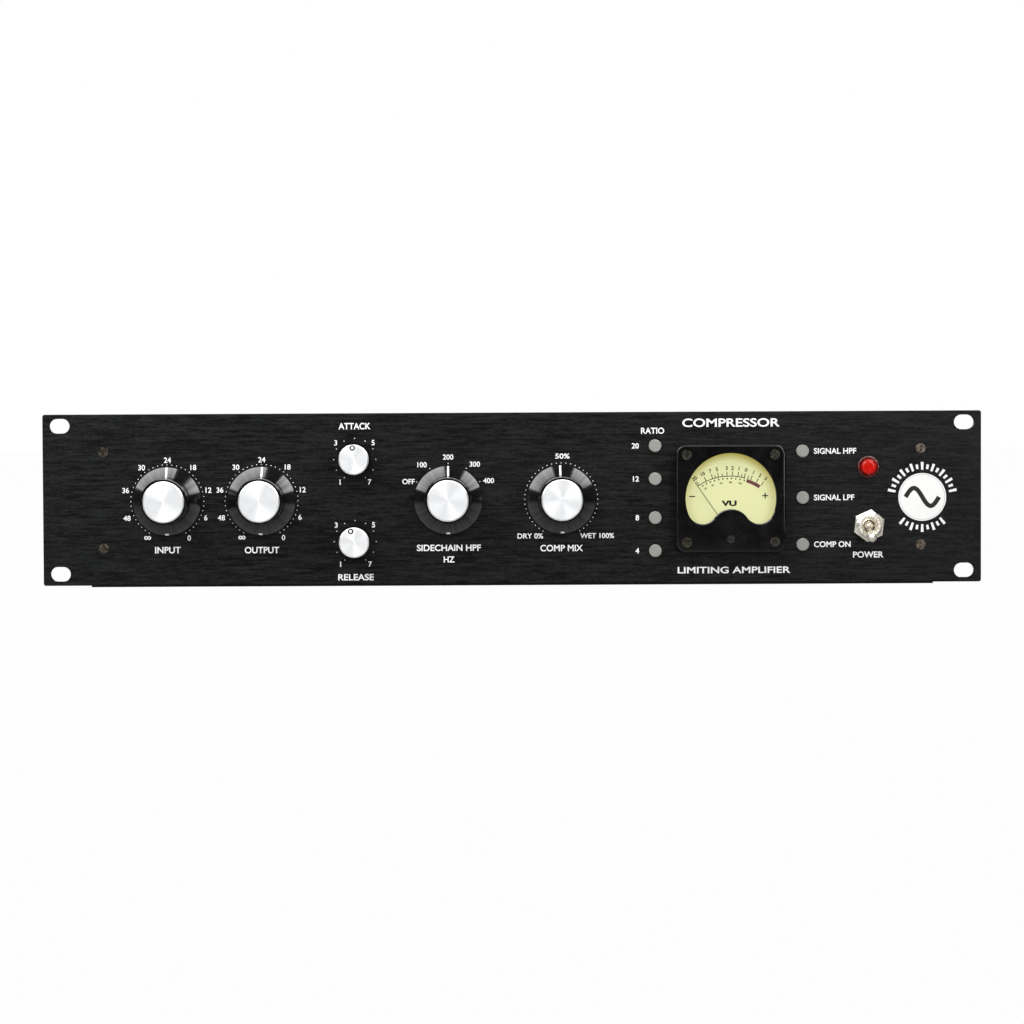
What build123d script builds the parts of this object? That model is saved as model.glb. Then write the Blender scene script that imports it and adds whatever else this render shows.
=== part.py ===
"""A 2U, 19 inch rack compressor: case, panel controls, meter, rear connectors and inner works.

Axes: X runs to the right, Z up, and the front faces -Y. The origin is the centre of the four rack
slots, on the plane where the front panel lies against the rack rails. All sizes are millimetres.
"""

from build123d import *
import math
import os

os.makedirs("parts", exist_ok=True)

# ---------------------------------------------------------------- shapes
HEX_SIDES = 6
QUARTER_TURN = 90

# ---------------------------------------------------------------- rack standard and front panel
PANEL_WIDTH = 482.6
PANEL_HEIGHT = 88.1
PANEL_THICK = 3.2
PANEL_CORNER = 1.2
PANEL_EDGE = 0.4
SLOT_PITCH_X = 465.1
SLOT_PITCH_Z = 76.2
SLOT_LENGTH = 10.5
SLOT_HEIGHT = 7.5
PANEL_FRONT = -PANEL_THICK

# ---------------------------------------------------------------- case
CASE_WIDTH = 434.0
CASE_BOTTOM = -45.0
CASE_TOP = 42.0
CASE_DEPTH = 228.0
COVER_THICK = 1.2
TRAY_THICK = 1.5
REAR_THICK = 1.5
COVER_GAP = 0.1
RETURN_WIDTH = 12.0
SIDE_FLANGE_TOP = -20.0
REAR_FLANGE_TOP = -28.0
TRAY_HALF_WIDTH = CASE_WIDTH / 2 - COVER_THICK - COVER_GAP
TRAY_TOP = CASE_TOP - COVER_THICK - COVER_GAP
REAR_FRONT = CASE_DEPTH - REAR_THICK
TRAY_BACK = REAR_FRONT - COVER_GAP
FLOOR_TOP = CASE_BOTTOM + TRAY_THICK
WALL_BACK = TRAY_THICK

# ---------------------------------------------------------------- case screws, M3 pan heads
M3_RADIUS = 1.5
M3_HOLE = 1.65
PAN_HEAD_RADIUS = 2.8
PAN_HEAD_HEIGHT = 1.9
PAN_HEAD_ROUND = 0.9
CROSS_LENGTH = 3.0
CROSS_WIDTH = 0.7
CROSS_DEPTH = 1.0
CASE_SCREW_LENGTH = 6.0
SIDE_SCREW_Z = -32.0
SIDE_SCREW_YS = (30.0, 114.0, 198.0)
TOP_SCREW_XS = (-190.0, 0.0, 190.0)
TOP_SCREW_YS = (RETURN_WIDTH / 2 + 1.0, REAR_FRONT - RETURN_WIDTH / 2)
REAR_SCREW_XS = (-200.0, -20.0, 60.0, 200.0)
REAR_SCREW_Z = -36.0

# ---------------------------------------------------------------- countersunk panel screws
PANEL_SCREW_X = 210.2
PANEL_SCREW_Z = 24.8
PANEL_SCREW_HEAD = 2.7
PANEL_SCREW_LENGTH = 9.0
COUNTERSINK_ANGLE = 90
COUNTERSINK_SINK = 0.15
COUNTERSINK_CLEARANCE = 0.02

# ---------------------------------------------------------------- cover vents
VENT_LENGTH = 26.0
VENT_WIDTH = 3.0
VENT_PITCH_X = 8.0
VENT_PITCH_Y = 34.0
VENT_COLUMNS = 14
VENT_ROWS = 3
VENT_CENTRE_Y = 120.0
VENT_CENTRES_X = (-110.0, 110.0)

# ---------------------------------------------------------------- control positions
INPUT_AT = (-177.3, -0.8)
OUTPUT_AT = (-128.8, -0.8)
SIDECHAIN_AT = (-32.8, -0.8)
MIX_AT = (25.3, -0.7)
ATTACK_AT = (-80.8, 20.3)
RELEASE_AT = (-80.8, -22.0)
RATIO_X = 73.6
RATIO_ZS = (26.6, 9.6, -10.4, -27.4)
RATIO_NAMES = ("ratio_20_button", "ratio_12_button", "ratio_8_button", "ratio_4_button")
FILTER_X = 149.4
FILTER_ZS = (23.5, -0.4, -24.5)
FILTER_NAMES = ("signal_hpf_button", "signal_lpf_button", "compressor_on_button")
METER_AT = (112.0, -0.5)
PILOT_AT = (183.3, 15.2)
TOGGLE_AT = (183.5, -15.0)

# ---------------------------------------------------------------- controls behind the knobs
SHAFT_RADIUS = 3.0
SHAFT_CLEARANCE = 0.04
BUSHING_RADIUS = 4.7
BUSHING_PROUD = 4.5
BUSHING_HOLE = 4.9
SMALL_BUSHING_RADIUS = 3.5
SMALL_BUSHING_HOLE = 3.7
NUT_FLATS = 12.7
NUT_THICK = 2.2
NUT_CLEARANCE = 0.05
LARGE_POT_RADIUS = 12.0
LARGE_POT_DEPTH = 11.0
SMALL_POT_RADIUS = 8.2
SMALL_POT_DEPTH = 9.0
SHAFT_BACK = 8.0
POT_BORE_BACK = 8.2
TAB_WIDTH = 2.0
TAB_THICK = 0.8
TAB_LENGTH = 6.0
TAB_PITCH = 5.0
SWITCH_RADIUS = 14.0
SWITCH_DEPTH = 18.0
SWITCH_WAFER = 2.0
SWITCH_WAFER_RADIUS = 15.5

# ---------------------------------------------------------------- large knob, heights from the panel face
KNOB_GAP = 1.0
SKIRT_RADIUS = 17.5
RIM_HEIGHT = 1.3
HUB_RADIUS = 12.3
SKIRT_TOP = 5.4
HUB_TOP = 18.6
HUB_TOP_RADIUS = 11.9
HUB_EDGE = 0.35
FLUTE_COUNT = 90
FLUTE_RADIUS = 0.4
FLUTE_DEPTH = 0.3
FLUTE_TOP = 17.4
NUT_CAVITY_RADIUS = 9.0
NUT_CAVITY_TOP = 6.2
SHAFT_TOP = 15.0
CAP_SEAT = 18.0
CAP_RADIUS = 10.55
CAP_SEAT_CLEARANCE = 0.05
CAP_TOP = 19.9
CAP_BEVEL = 0.6

# ---------------------------------------------------------------- small knob
SMALL_RADIUS = 8.0
SMALL_SKIRT_RADIUS = 8.3
SMALL_RIM = 2.0
SMALL_TOP = 13.4
SMALL_CAP_SEAT = 12.8
SMALL_CAP_TOP = 14.9
SMALL_CAP_RADIUS = 7.7
SMALL_CAP_BEVEL = 0.5
SMALL_FLUTE_COUNT = 60
SMALL_CAVITY_RADIUS = 6.7
SMALL_CAVITY_TOP = 5.4
SMALL_NUT_FLATS = 11.0
SMALL_SHAFT_TOP = 11.0
SMALL_PROUD = 4.0

# ---------------------------------------------------------------- push buttons
BUTTON_RADIUS = 3.25
BUTTON_HOLE = 3.55
BUTTON_PROUD = 1.9
BUTTON_EDGE = 0.35
BUTTON_FLANGE_RADIUS = 4.3
BUTTON_FLANGE_FRONT = 1.7
BUTTON_FLANGE_BACK = 2.6
BUTTON_STEM_RADIUS = 1.4
BUTTON_STEM_BACK = 9.0
PUSH_SWITCH_FRONT = 5.0
PUSH_SWITCH_BACK = 15.0
PUSH_SWITCH_SIZE = 8.5
PUSH_BORE_RADIUS = 1.6
PUSH_BORE_BACK = 12.0
BUTTON_BOARD_WIDTH = 13.0
BUTTON_BOARD_MARGIN = 7.0
BUTTON_BOARD_THICK = 1.6

# ---------------------------------------------------------------- meter, heights from the panel face
BEZEL_WIDTH = 56.3
BEZEL_HEIGHT = 55.0
BEZEL_CORNER = 5.0
BEZEL_PROUD = 7.6
BEZEL_EDGE = 1.0
WINDOW_EDGE = 0.45
BEZEL_PLATE = 2.4
WINDOW_RADIUS = 23.2
LOBE_RADIUS = 7.6
LOBE_X = 14.4
LOBE_Z = -5.5
HUMP_RADIUS = 10.1
HUMP_Z = -15.6
METER_SCREW_X = 22.6
METER_SCREW_Z = 22.4
METER_SCREW_HEAD = 2.6
METER_SCREW_RECESS = 2.75
METER_SCREW_SINK = 1.8
METER_SCREW_HEIGHT = 1.5
METER_SCREW_BACK = 6.0
M3_NUT_FLATS = 5.5
M3_NUT_THICK = 2.4
BARREL_RADIUS = 25.4
BARREL_WALL = 1.2
BARREL_BACK = 27.0
BARREL_HOLE = 25.8
LENS_RADIUS = 25.6
LENS_THICK = 1.2
LENS_GAP = 0.02
ADJUST_Z = -20.9
ADJUST_RADIUS = 2.0
ADJUST_CLEARANCE = 0.06
ADJUST_FLANGE = 2.7
ADJUST_FLANGE_THICK = 0.8
ADJUST_NOTCH = 3.2
ADJUST_PIN_RADIUS = 0.5
ADJUST_PIN_OFFSET = 1.3
ADJUST_PIN_LENGTH = 2.4
PIVOT_Z = -17.7
NEEDLE_LENGTH = 31.6
NEEDLE_REST = -34.8
NEEDLE_HEIGHT = 1.6
NEEDLE_THICK = 0.35
NEEDLE_ROOT = 0.55
NEEDLE_TIP = 0.34
NEEDLE_TAIL = 5.0
NEEDLE_HUB = 2.2
DIAL_FRONT = 0.2
DIAL_THICK = 0.7
DIAL_RADIUS = 24.0
DIAL_FOOT = -14.5
COIL_FRONT = 3.0
COIL_BACK = 11.0
COIL_SIDE = 8.4
COIL_WIRE = 0.7
COIL_THICK = 1.4
STAFF_RADIUS = 0.5
CORE_RADIUS = 2.9
CORE_GAP = 0.5
CORE_BRIDGE = 2.0
YOKE_OUTER = 6.2
YOKE_INNER = 5.0
YOKE_BACK = 14.5
METER_STUD_X = 9.0
METER_STUD_RADIUS = 1.5
METER_STUD_LENGTH = 7.0

# ---------------------------------------------------------------- pilot lamp
PILOT_HOLE = 4.6
PILOT_HOLDER_RADIUS = 4.5
PILOT_FLANGE = 5.7
PILOT_FLANGE_HEIGHT = 1.2
PILOT_HOLDER_BACK = 20.0
PILOT_LENS_RADIUS = 4.1
PILOT_LENS_PROUD = 4.2
PILOT_LENS_BACK = 3.0
PILOT_LENS_ROUND = 1.8
PILOT_BORE = 4.15

# ---------------------------------------------------------------- toggle switch
TOGGLE_HOLE = 6.1
TOGGLE_BUSHING = 5.9
TOGGLE_BUSHING_TOP = 4.4
TOGGLE_MOUTH = 4.5
TOGGLE_THROAT = 3.0
TOGGLE_THROAT_TOP = 2.0
TOGGLE_NUT_FLATS = 14.5
TOGGLE_NUT_TOP = 2.3
TOGGLE_COLLAR = 6.6
TOGGLE_COLLAR_TOP = 3.3
TOGGLE_COLLAR_EDGE = 0.5
TOGGLE_NUT_TURN = -6.5
POINT_UP = 30.0
TOGGLE_PIVOT = -1.0
TOGGLE_TILT = 21.0
TOGGLE_REACH = 17.8
TOGGLE_TIP = 2.5
TOGGLE_NECK = 1.3
TOGGLE_BALL = 2.7
TOGGLE_WAIST = 6.6
TOGGLE_TABS = (2, 3)
TOGGLE_TAB_RISE = 8.0
TOGGLE_TAIL = 6.0
TOGGLE_TAIL_RADIUS = 1.1
TOGGLE_CAVITY = 4.4
TOGGLE_BODY_WIDTH = 13.0
TOGGLE_BODY_HEIGHT = 27.0
TOGGLE_BODY_BACK = 21.0
TOGGLE_CAVITY_BACK = 10.0

# ---------------------------------------------------------------- boards and inner works
BOARD_LEFT = -206.0
BOARD_RIGHT = 84.0
BOARD_FRONT = 44.0
BOARD_BACK = 196.0
BOARD_BOTTOM = -35.5
BOARD_THICK = 1.6
BOARD_TOP = BOARD_BOTTOM + BOARD_THICK
STANDOFF_RADIUS = 3.0
STANDOFF_INSET = 6.0
STANDOFF_GRID = (3, 2)
BIG_CAP_RADIUS = 8.0
BIG_CAP_HEIGHT = 30.0
SMALL_CAP_CAN = 4.0
SMALL_CAP_HEIGHT = 12.0
BIG_CAPS_AT = (50.0, 84.0)
BIG_CAP_PITCH = (22.0, 24.0)
SMALL_CAPS_AT = (-120.0, 84.0)
CHIPS_AT = (-120.0, 124.0)
CHANNEL_PITCH = (26.0, 24.0)
CHANNELS = 5
CHIP_SIZE = (6.4, 9.8, 3.4)
RELAYS_AT = (-20.0, 90.0)
RELAY_PITCH = (18.0, 30.0)
RELAY_SIZE = (10.0, 20.0, 11.0)
TOROID_AT = (146.0, 118.0)
TOROID_OUTER = 44.0
TOROID_INNER = 14.0
TOROID_HEIGHT = 38.0
TOROID_ROUND = 9.0
PAD_THICK = 1.5
DISH_RADIUS = 30.0
DISH_THICK = 2.0
BOLT_RADIUS = 3.0
BOLT_HEAD = 5.0
BOLT_HEAD_HEIGHT = 4.0
CAN_SIZE = (34.0, 34.0, 32.0)
CAN_XS = (-180.0, -60.0)
CAN_Y = 164.0
SINK_WIDTH = 60.0
SINK_DEPTH = 22.0
SINK_HEIGHT = 34.0
SINK_FIN = 1.4
SINK_BASE = 3.0
SINK_FINS = 9
SINK_AT = (40.0, 150.0)

# ---------------------------------------------------------------- rear connectors
XLR_IN_X = -150.0
XLR_OUT_X = -105.0
XLR_Z = 4.0
XLR_FLANGE_WIDTH = 26.0
XLR_FLANGE_HEIGHT = 31.0
XLR_FLANGE_THICK = 2.0
XLR_FLANGE_CORNER = 3.0
XLR_BODY_RADIUS = 11.8
XLR_BODY_DEPTH = 21.0
XLR_HOLE = 12.0
XLR_CAVITY = 9.4
XLR_CAVITY_DEPTH = 14.0
XLR_INSERT = 7.9
XLR_PINS = 3
XLR_PIN_RADIUS = 1.2
XLR_PIN_CIRCLE = 4.6
XLR_SOCKET_RADIUS = 1.35
XLR_SCREW_X = 9.5
XLR_SCREW_Z = 12.0
LATCH_WIDTH = 5.0
LATCH_HEIGHT = 3.4
JACK_XS = (-66.0, -42.0, -18.0)
JACK_Z = 4.0
JACK_BORE = 3.25
JACK_BUSHING = 5.6
JACK_PROUD = 6.0
JACK_HOLE = 5.8
JACK_BODY = 15.0
JACK_BODY_DEPTH = 26.0
JACK_NUT_FLATS = 14.0
JACK_NUT_THICK = 2.4
JACK_NUT_CLEARANCE = 0.05
JACK_BORE_DEPTH = 30.0
INLET_X = 168.0
INLET_Z = 4.0
INLET_FLANGE_WIDTH = 50.0
INLET_FLANGE_HEIGHT = 34.0
INLET_FLANGE_THICK = 2.5
INLET_FLANGE_CORNER = 4.0
INLET_BODY_WIDTH = 27.4
INLET_BODY_HEIGHT = 31.0
INLET_BODY_DEPTH = 24.0
INLET_HOLE_GAP = 0.4
INLET_SCREW_X = 20.0
SOCKET_WIDTH = 24.0
SOCKET_HEIGHT = 16.4
SOCKET_DEPTH = 16.0
SOCKET_RAISE = 5.4
SOCKET_CORNER = 3.6
BLADES = 3
BLADE_WIDTH = 2.0
BLADE_HEIGHT = 4.0
BLADE_LENGTH = 14.0
BLADE_X = 7.0
BLADE_RAISE = 2.0
DRAWER_WIDTH = 22.0
DRAWER_HEIGHT = 7.6
DRAWER_DEPTH = 18.0
DRAWER_DROP = -10.6
DRAWER_GAP = 0.15
DRAWER_LIP = 0.8
DRAWER_GRIP_WIDTH = 8.0
DRAWER_GRIP_HEIGHT = 2.5
DRAWER_GRIP_DEPTH = 0.7

# ---------------------------------------------------------------- inner leads, by the corners of each run
LEAD_RADIUS = 0.9
LEAD_GAP = 0.05
LEAD_BEND = 0.42
SWITCH_LEAD = ((175.0, 184.0, 4.0), (203.0, 166.0, -6.0), (203.0, 70.0, -14.0), (186.0, 44.0, -15.0))
RETURN_LEAD = ((168.0, 178.0, 4.0), (198.0, 160.0, 10.0), (198.0, 64.0, 2.0), (181.0, 46.0, -7.0))
METER_LEAD = ((103.0, 46.0, -0.5), (88.0, 56.0, -12.0), (76.0, 60.0, -20.0))


# ================================================================ helpers
def save(builder, label):
    """Label a finished piece and write it to its own STEP file."""
    builder.part.label = label
    export_step(builder.part, f"parts/{label}.step")


def front_plane(y, x=0.0, z=0.0):
    """A sketch plane that faces the front: local x is +X, local y is +Z, extrusion runs to -Y."""
    return Plane(origin=(x, y, z), x_dir=(1, 0, 0), z_dir=(0, -1, 0))


def rear_plane(y, x=0.0, z=0.0):
    """A sketch plane that faces the rear: local x is -X, local y is +Z, extrusion runs to +Y."""
    return Plane(origin=(x, y, z), x_dir=(-1, 0, 0), z_dir=(0, 1, 0))


def turning_plane(x, z):
    """A half section for turned pieces: local x is the radius, local y the height over the panel face."""
    return Plane(origin=(x, PANEL_FRONT, z), x_dir=(1, 0, 0), z_dir=(0, 0, -1))


def turning_axis(x, z):
    """The line through (x, z) that points out of the front."""
    return Axis((x, 0, z), (0, -1, 0))


def height(value):
    """Turn a height over the panel face into a Y coordinate."""
    return PANEL_FRONT - value


def flats_radius(across_flats):
    """The corner radius of a hexagon of this size across flats."""
    return across_flats / math.cos(math.pi / HEX_SIDES) / 2


# ================================================================ sketches that several pieces share
def meter_window():
    """The kidney-shaped meter opening, drawn about the meter's centre in the current sketch.

    The big circle is joined to two lower lobes, and a round hump is cut from the middle below.
    """
    lobe_reach = math.hypot(LOBE_X, LOBE_Z)
    hump_reach = math.hypot(LOBE_X, LOBE_Z - HUMP_Z)
    outer_x = LOBE_X / lobe_reach * WINDOW_RADIUS
    outer_z = LOBE_Z / lobe_reach * WINDOW_RADIUS
    inner_x = LOBE_X * HUMP_RADIUS / hump_reach
    inner_z = HUMP_Z + (LOBE_Z - HUMP_Z) * HUMP_RADIUS / hump_reach
    with BuildLine() as outline:
        ThreePointArc((-outer_x, outer_z), (0, WINDOW_RADIUS), (outer_x, outer_z))
        ThreePointArc((outer_x, outer_z), (LOBE_X, LOBE_Z - LOBE_RADIUS), (inner_x, inner_z))
        ThreePointArc((inner_x, inner_z), (0, HUMP_Z + HUMP_RADIUS), (-inner_x, inner_z))
        ThreePointArc((-inner_x, inner_z), (-LOBE_X, LOBE_Z - LOBE_RADIUS), (-outer_x, outer_z))
    make_face(outline.edges())


def cross_recess(plane):
    """Cut a cross slot into a screw head whose outer face lies in the plane."""
    with BuildSketch(plane) as cross:
        Rectangle(CROSS_LENGTH, CROSS_WIDTH)
        Rectangle(CROSS_WIDTH, CROSS_LENGTH)
    extrude(cross.sketch, amount=-CROSS_DEPTH, mode=Mode.SUBTRACT)


def pan_screw(plane, length=CASE_SCREW_LENGTH):
    """An M3 pan-head screw whose head sits on the plane and whose shank runs back through it."""
    half = Plane(origin=plane.origin, x_dir=plane.x_dir, z_dir=-plane.y_dir)
    with BuildSketch(half) as section:
        with BuildLine():
            Polyline(
                (0, -length),
                (M3_RADIUS, -length),
                (M3_RADIUS, 0),
                (PAN_HEAD_RADIUS, 0),
                (PAN_HEAD_RADIUS, PAN_HEAD_HEIGHT - PAN_HEAD_ROUND),
            )
            RadiusArc(
                (PAN_HEAD_RADIUS, PAN_HEAD_HEIGHT - PAN_HEAD_ROUND),
                (PAN_HEAD_RADIUS - PAN_HEAD_ROUND, PAN_HEAD_HEIGHT),
                -PAN_HEAD_ROUND,
            )
            Polyline((PAN_HEAD_RADIUS - PAN_HEAD_ROUND, PAN_HEAD_HEIGHT), (0, PAN_HEAD_HEIGHT), (0, -length))
        make_face()
    revolve(section.sketch, axis=Axis(plane.origin, plane.z_dir))
    cross_recess(plane.offset(PAN_HEAD_HEIGHT))


# ================================================================ positions worked out from the values above
LARGE_KNOBS = {"input": INPUT_AT, "output": OUTPUT_AT, "sidechain": SIDECHAIN_AT, "mix": MIX_AT}
SMALL_KNOBS = {"attack": ATTACK_AT, "release": RELEASE_AT}
LARGE_POTS = (INPUT_AT, OUTPUT_AT, MIX_AT)
RATIO_AT = [(RATIO_X, z) for z in RATIO_ZS]
FILTER_AT = [(FILTER_X, z) for z in FILTER_ZS]
BUTTONS = dict(zip(RATIO_NAMES + FILTER_NAMES, RATIO_AT + FILTER_AT))
METER_SCREWS_AT = [
    (METER_AT[0] + side * METER_SCREW_X, METER_AT[1] + rise * METER_SCREW_Z)
    for side in (-1, 1)
    for rise in (-1, 1)
]
PANEL_SCREWS_AT = [(side * PANEL_SCREW_X, rise * PANEL_SCREW_Z) for side in (-1, 1) for rise in (-1, 1)]
XLR_SCREWS_AT = [
    (x + side * XLR_SCREW_X, XLR_Z + side * XLR_SCREW_Z) for x in (XLR_IN_X, XLR_OUT_X) for side in (-1, 1)
]
INLET_SCREWS_AT = [(INLET_X + side * INLET_SCREW_X, INLET_Z) for side in (-1, 1)]
PIVOT_AT = (METER_AT[0], METER_AT[1] + PIVOT_Z)
ADJUST_AT = (METER_AT[0], METER_AT[1] + ADJUST_Z)
BOARD_CENTRE = ((BOARD_LEFT + BOARD_RIGHT) / 2, (BOARD_FRONT + BOARD_BACK) / 2)
STANDOFF_PITCH_X = (BOARD_RIGHT - BOARD_LEFT) / 2 - STANDOFF_INSET
STANDOFF_PITCH_Y = BOARD_BACK - BOARD_FRONT - 2 * STANDOFF_INSET


# ================================================================ case
def make_front_panel():
    """The rack panel: a plate with four rack slots and one opening for each control."""
    with BuildPart() as panel:
        with BuildSketch(front_plane(0)):
            RectangleRounded(PANEL_WIDTH, PANEL_HEIGHT, PANEL_CORNER)
        extrude(amount=PANEL_THICK)
        front = panel.faces().sort_by(Axis.Y)[0]
        chamfer(front.edges(), length=PANEL_EDGE)
        with BuildSketch(front_plane(0)):
            with GridLocations(SLOT_PITCH_X, SLOT_PITCH_Z, 2, 2):
                SlotOverall(SLOT_LENGTH, SLOT_HEIGHT)
            with Locations(*LARGE_KNOBS.values()):
                Circle(BUSHING_HOLE)
            with Locations(*SMALL_KNOBS.values()):
                Circle(SMALL_BUSHING_HOLE)
            with Locations(*BUTTONS.values()):
                Circle(BUTTON_HOLE)
            with Locations(METER_AT):
                Circle(BARREL_HOLE)
            with Locations(*METER_SCREWS_AT):
                Circle(M3_HOLE)
            with Locations(PILOT_AT):
                Circle(PILOT_HOLE)
            with Locations(TOGGLE_AT):
                Circle(TOGGLE_HOLE)
        extrude(amount=PANEL_THICK, mode=Mode.SUBTRACT)
        with Locations(front_plane(PANEL_FRONT)):
            with Locations(*PANEL_SCREWS_AT):
                CounterSinkHole(M3_HOLE, PANEL_SCREW_HEAD, PANEL_THICK, COUNTERSINK_ANGLE)
    save(panel, "front_panel")


def make_panel_screws():
    """Four countersunk screws that hold the panel to the tray, each with a cross recess."""
    head_radius = PANEL_SCREW_HEAD - COUNTERSINK_SINK - COUNTERSINK_CLEARANCE
    head_base = COUNTERSINK_SINK + head_radius - M3_RADIUS
    with BuildPart() as screws:
        for x, z in PANEL_SCREWS_AT:
            with BuildSketch(turning_plane(x, z)):
                with BuildLine():
                    Polyline(
                        (0, -COUNTERSINK_SINK),
                        (head_radius, -COUNTERSINK_SINK),
                        (M3_RADIUS, -head_base),
                        (M3_RADIUS, -PANEL_SCREW_LENGTH),
                        (0, -PANEL_SCREW_LENGTH),
                        close=True,
                    )
                make_face()
            revolve(axis=turning_axis(x, z))
            cross_recess(front_plane(PANEL_FRONT + COUNTERSINK_SINK, x, z))
    save(screws, "panel_screws")


def make_case_tray():
    """The folded tray: floor, front wall with its returns, low side flanges and a low rear flange."""
    width = 2 * TRAY_HALF_WIDTH
    depth = TRAY_BACK
    front_height = TRAY_TOP - CASE_BOTTOM
    with BuildPart() as tray:
        with BuildSketch(Plane.XY.offset(CASE_BOTTOM)):
            Rectangle(width, depth, align=(Align.CENTER, Align.MIN))
        extrude(amount=TRAY_THICK)
        with BuildSketch(Plane.XY.offset(CASE_BOTTOM)):
            Rectangle(width, TRAY_THICK, align=(Align.CENTER, Align.MIN))
            for side in (-1, 1):
                with Locations((side * (TRAY_HALF_WIDTH - TRAY_THICK / 2), 0)):
                    Rectangle(TRAY_THICK, RETURN_WIDTH, align=(Align.CENTER, Align.MIN))
        extrude(amount=front_height)
        with BuildSketch(Plane.XY.offset(TRAY_TOP)):
            Rectangle(width, RETURN_WIDTH, align=(Align.CENTER, Align.MIN))
        extrude(amount=-TRAY_THICK)
        with BuildSketch(Plane.XY.offset(CASE_BOTTOM)):
            for side in (-1, 1):
                with Locations((side * (TRAY_HALF_WIDTH - TRAY_THICK / 2), 0)):
                    Rectangle(TRAY_THICK, depth, align=(Align.CENTER, Align.MIN))
        extrude(amount=SIDE_FLANGE_TOP - CASE_BOTTOM)
        with BuildSketch(Plane.XY.offset(CASE_BOTTOM)):
            with Locations((0, depth)):
                Rectangle(width, TRAY_THICK, align=(Align.CENTER, Align.MAX))
        extrude(amount=REAR_FLANGE_TOP - CASE_BOTTOM)

        with BuildSketch(front_plane(0)):
            with Locations(*LARGE_KNOBS.values()):
                Circle(BUSHING_HOLE)
            with Locations(*SMALL_KNOBS.values()):
                Circle(SMALL_BUSHING_HOLE)
            with Locations(*BUTTONS.values()):
                Circle(BUTTON_HOLE)
            with Locations(METER_AT):
                Circle(BARREL_HOLE)
            with Locations(*METER_SCREWS_AT, *PANEL_SCREWS_AT):
                Circle(M3_HOLE)
            with Locations(PILOT_AT):
                Circle(PILOT_HOLE)
            with Locations(TOGGLE_AT):
                Circle(TOGGLE_HOLE)
        extrude(amount=-TRAY_THICK, mode=Mode.SUBTRACT)
        for x in TOP_SCREW_XS:
            with BuildSketch(Plane.XY.offset(TRAY_TOP)):
                with Locations((x, TOP_SCREW_YS[0])):
                    Circle(M3_HOLE)
            extrude(amount=-TRAY_THICK, mode=Mode.SUBTRACT)
        with BuildSketch(Plane.YZ.offset(-TRAY_HALF_WIDTH)):
            with Locations(*[(y, SIDE_SCREW_Z) for y in SIDE_SCREW_YS]):
                Circle(M3_HOLE)
        extrude(amount=width, mode=Mode.SUBTRACT)
        with BuildSketch(rear_plane(TRAY_BACK)):
            with Locations(*[(-x, REAR_SCREW_Z) for x in REAR_SCREW_XS]):
                Circle(M3_HOLE)
        extrude(amount=-TRAY_THICK, mode=Mode.SUBTRACT)
    save(tray, "case_tray")


def make_rear_panel():
    """The rear panel: a plate with a top return and the cut-outs for the connectors."""
    plate_height = TRAY_TOP - CASE_BOTTOM
    with BuildPart() as rear:
        with BuildSketch(Plane.XY.offset(CASE_BOTTOM)):
            with Locations((0, REAR_FRONT)):
                Rectangle(2 * TRAY_HALF_WIDTH, REAR_THICK, align=(Align.CENTER, Align.MIN))
        extrude(amount=plate_height)
        with BuildSketch(Plane.XY.offset(TRAY_TOP)):
            with Locations((0, REAR_FRONT)):
                Rectangle(2 * TRAY_HALF_WIDTH, RETURN_WIDTH, align=(Align.CENTER, Align.MAX))
        extrude(amount=-TRAY_THICK)
        with BuildSketch(rear_plane(CASE_DEPTH)):
            with Locations((-XLR_IN_X, XLR_Z), (-XLR_OUT_X, XLR_Z)):
                Circle(XLR_HOLE)
            with Locations(*[(-x, JACK_Z) for x in JACK_XS]):
                Circle(JACK_HOLE)
            with Locations((-INLET_X, INLET_Z)):
                Rectangle(INLET_BODY_WIDTH + INLET_HOLE_GAP, INLET_BODY_HEIGHT + INLET_HOLE_GAP)
            with Locations(*[(-x, z) for x, z in XLR_SCREWS_AT + INLET_SCREWS_AT]):
                Circle(M3_HOLE)
            with Locations(*[(-x, REAR_SCREW_Z) for x in REAR_SCREW_XS]):
                Circle(M3_HOLE)
        extrude(amount=-REAR_THICK, mode=Mode.SUBTRACT)
        with BuildSketch(Plane.XY.offset(TRAY_TOP)):
            with Locations(*[(x, TOP_SCREW_YS[1]) for x in TOP_SCREW_XS]):
                Circle(M3_HOLE)
        extrude(amount=-TRAY_THICK, mode=Mode.SUBTRACT)
    save(rear, "rear_panel")


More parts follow.
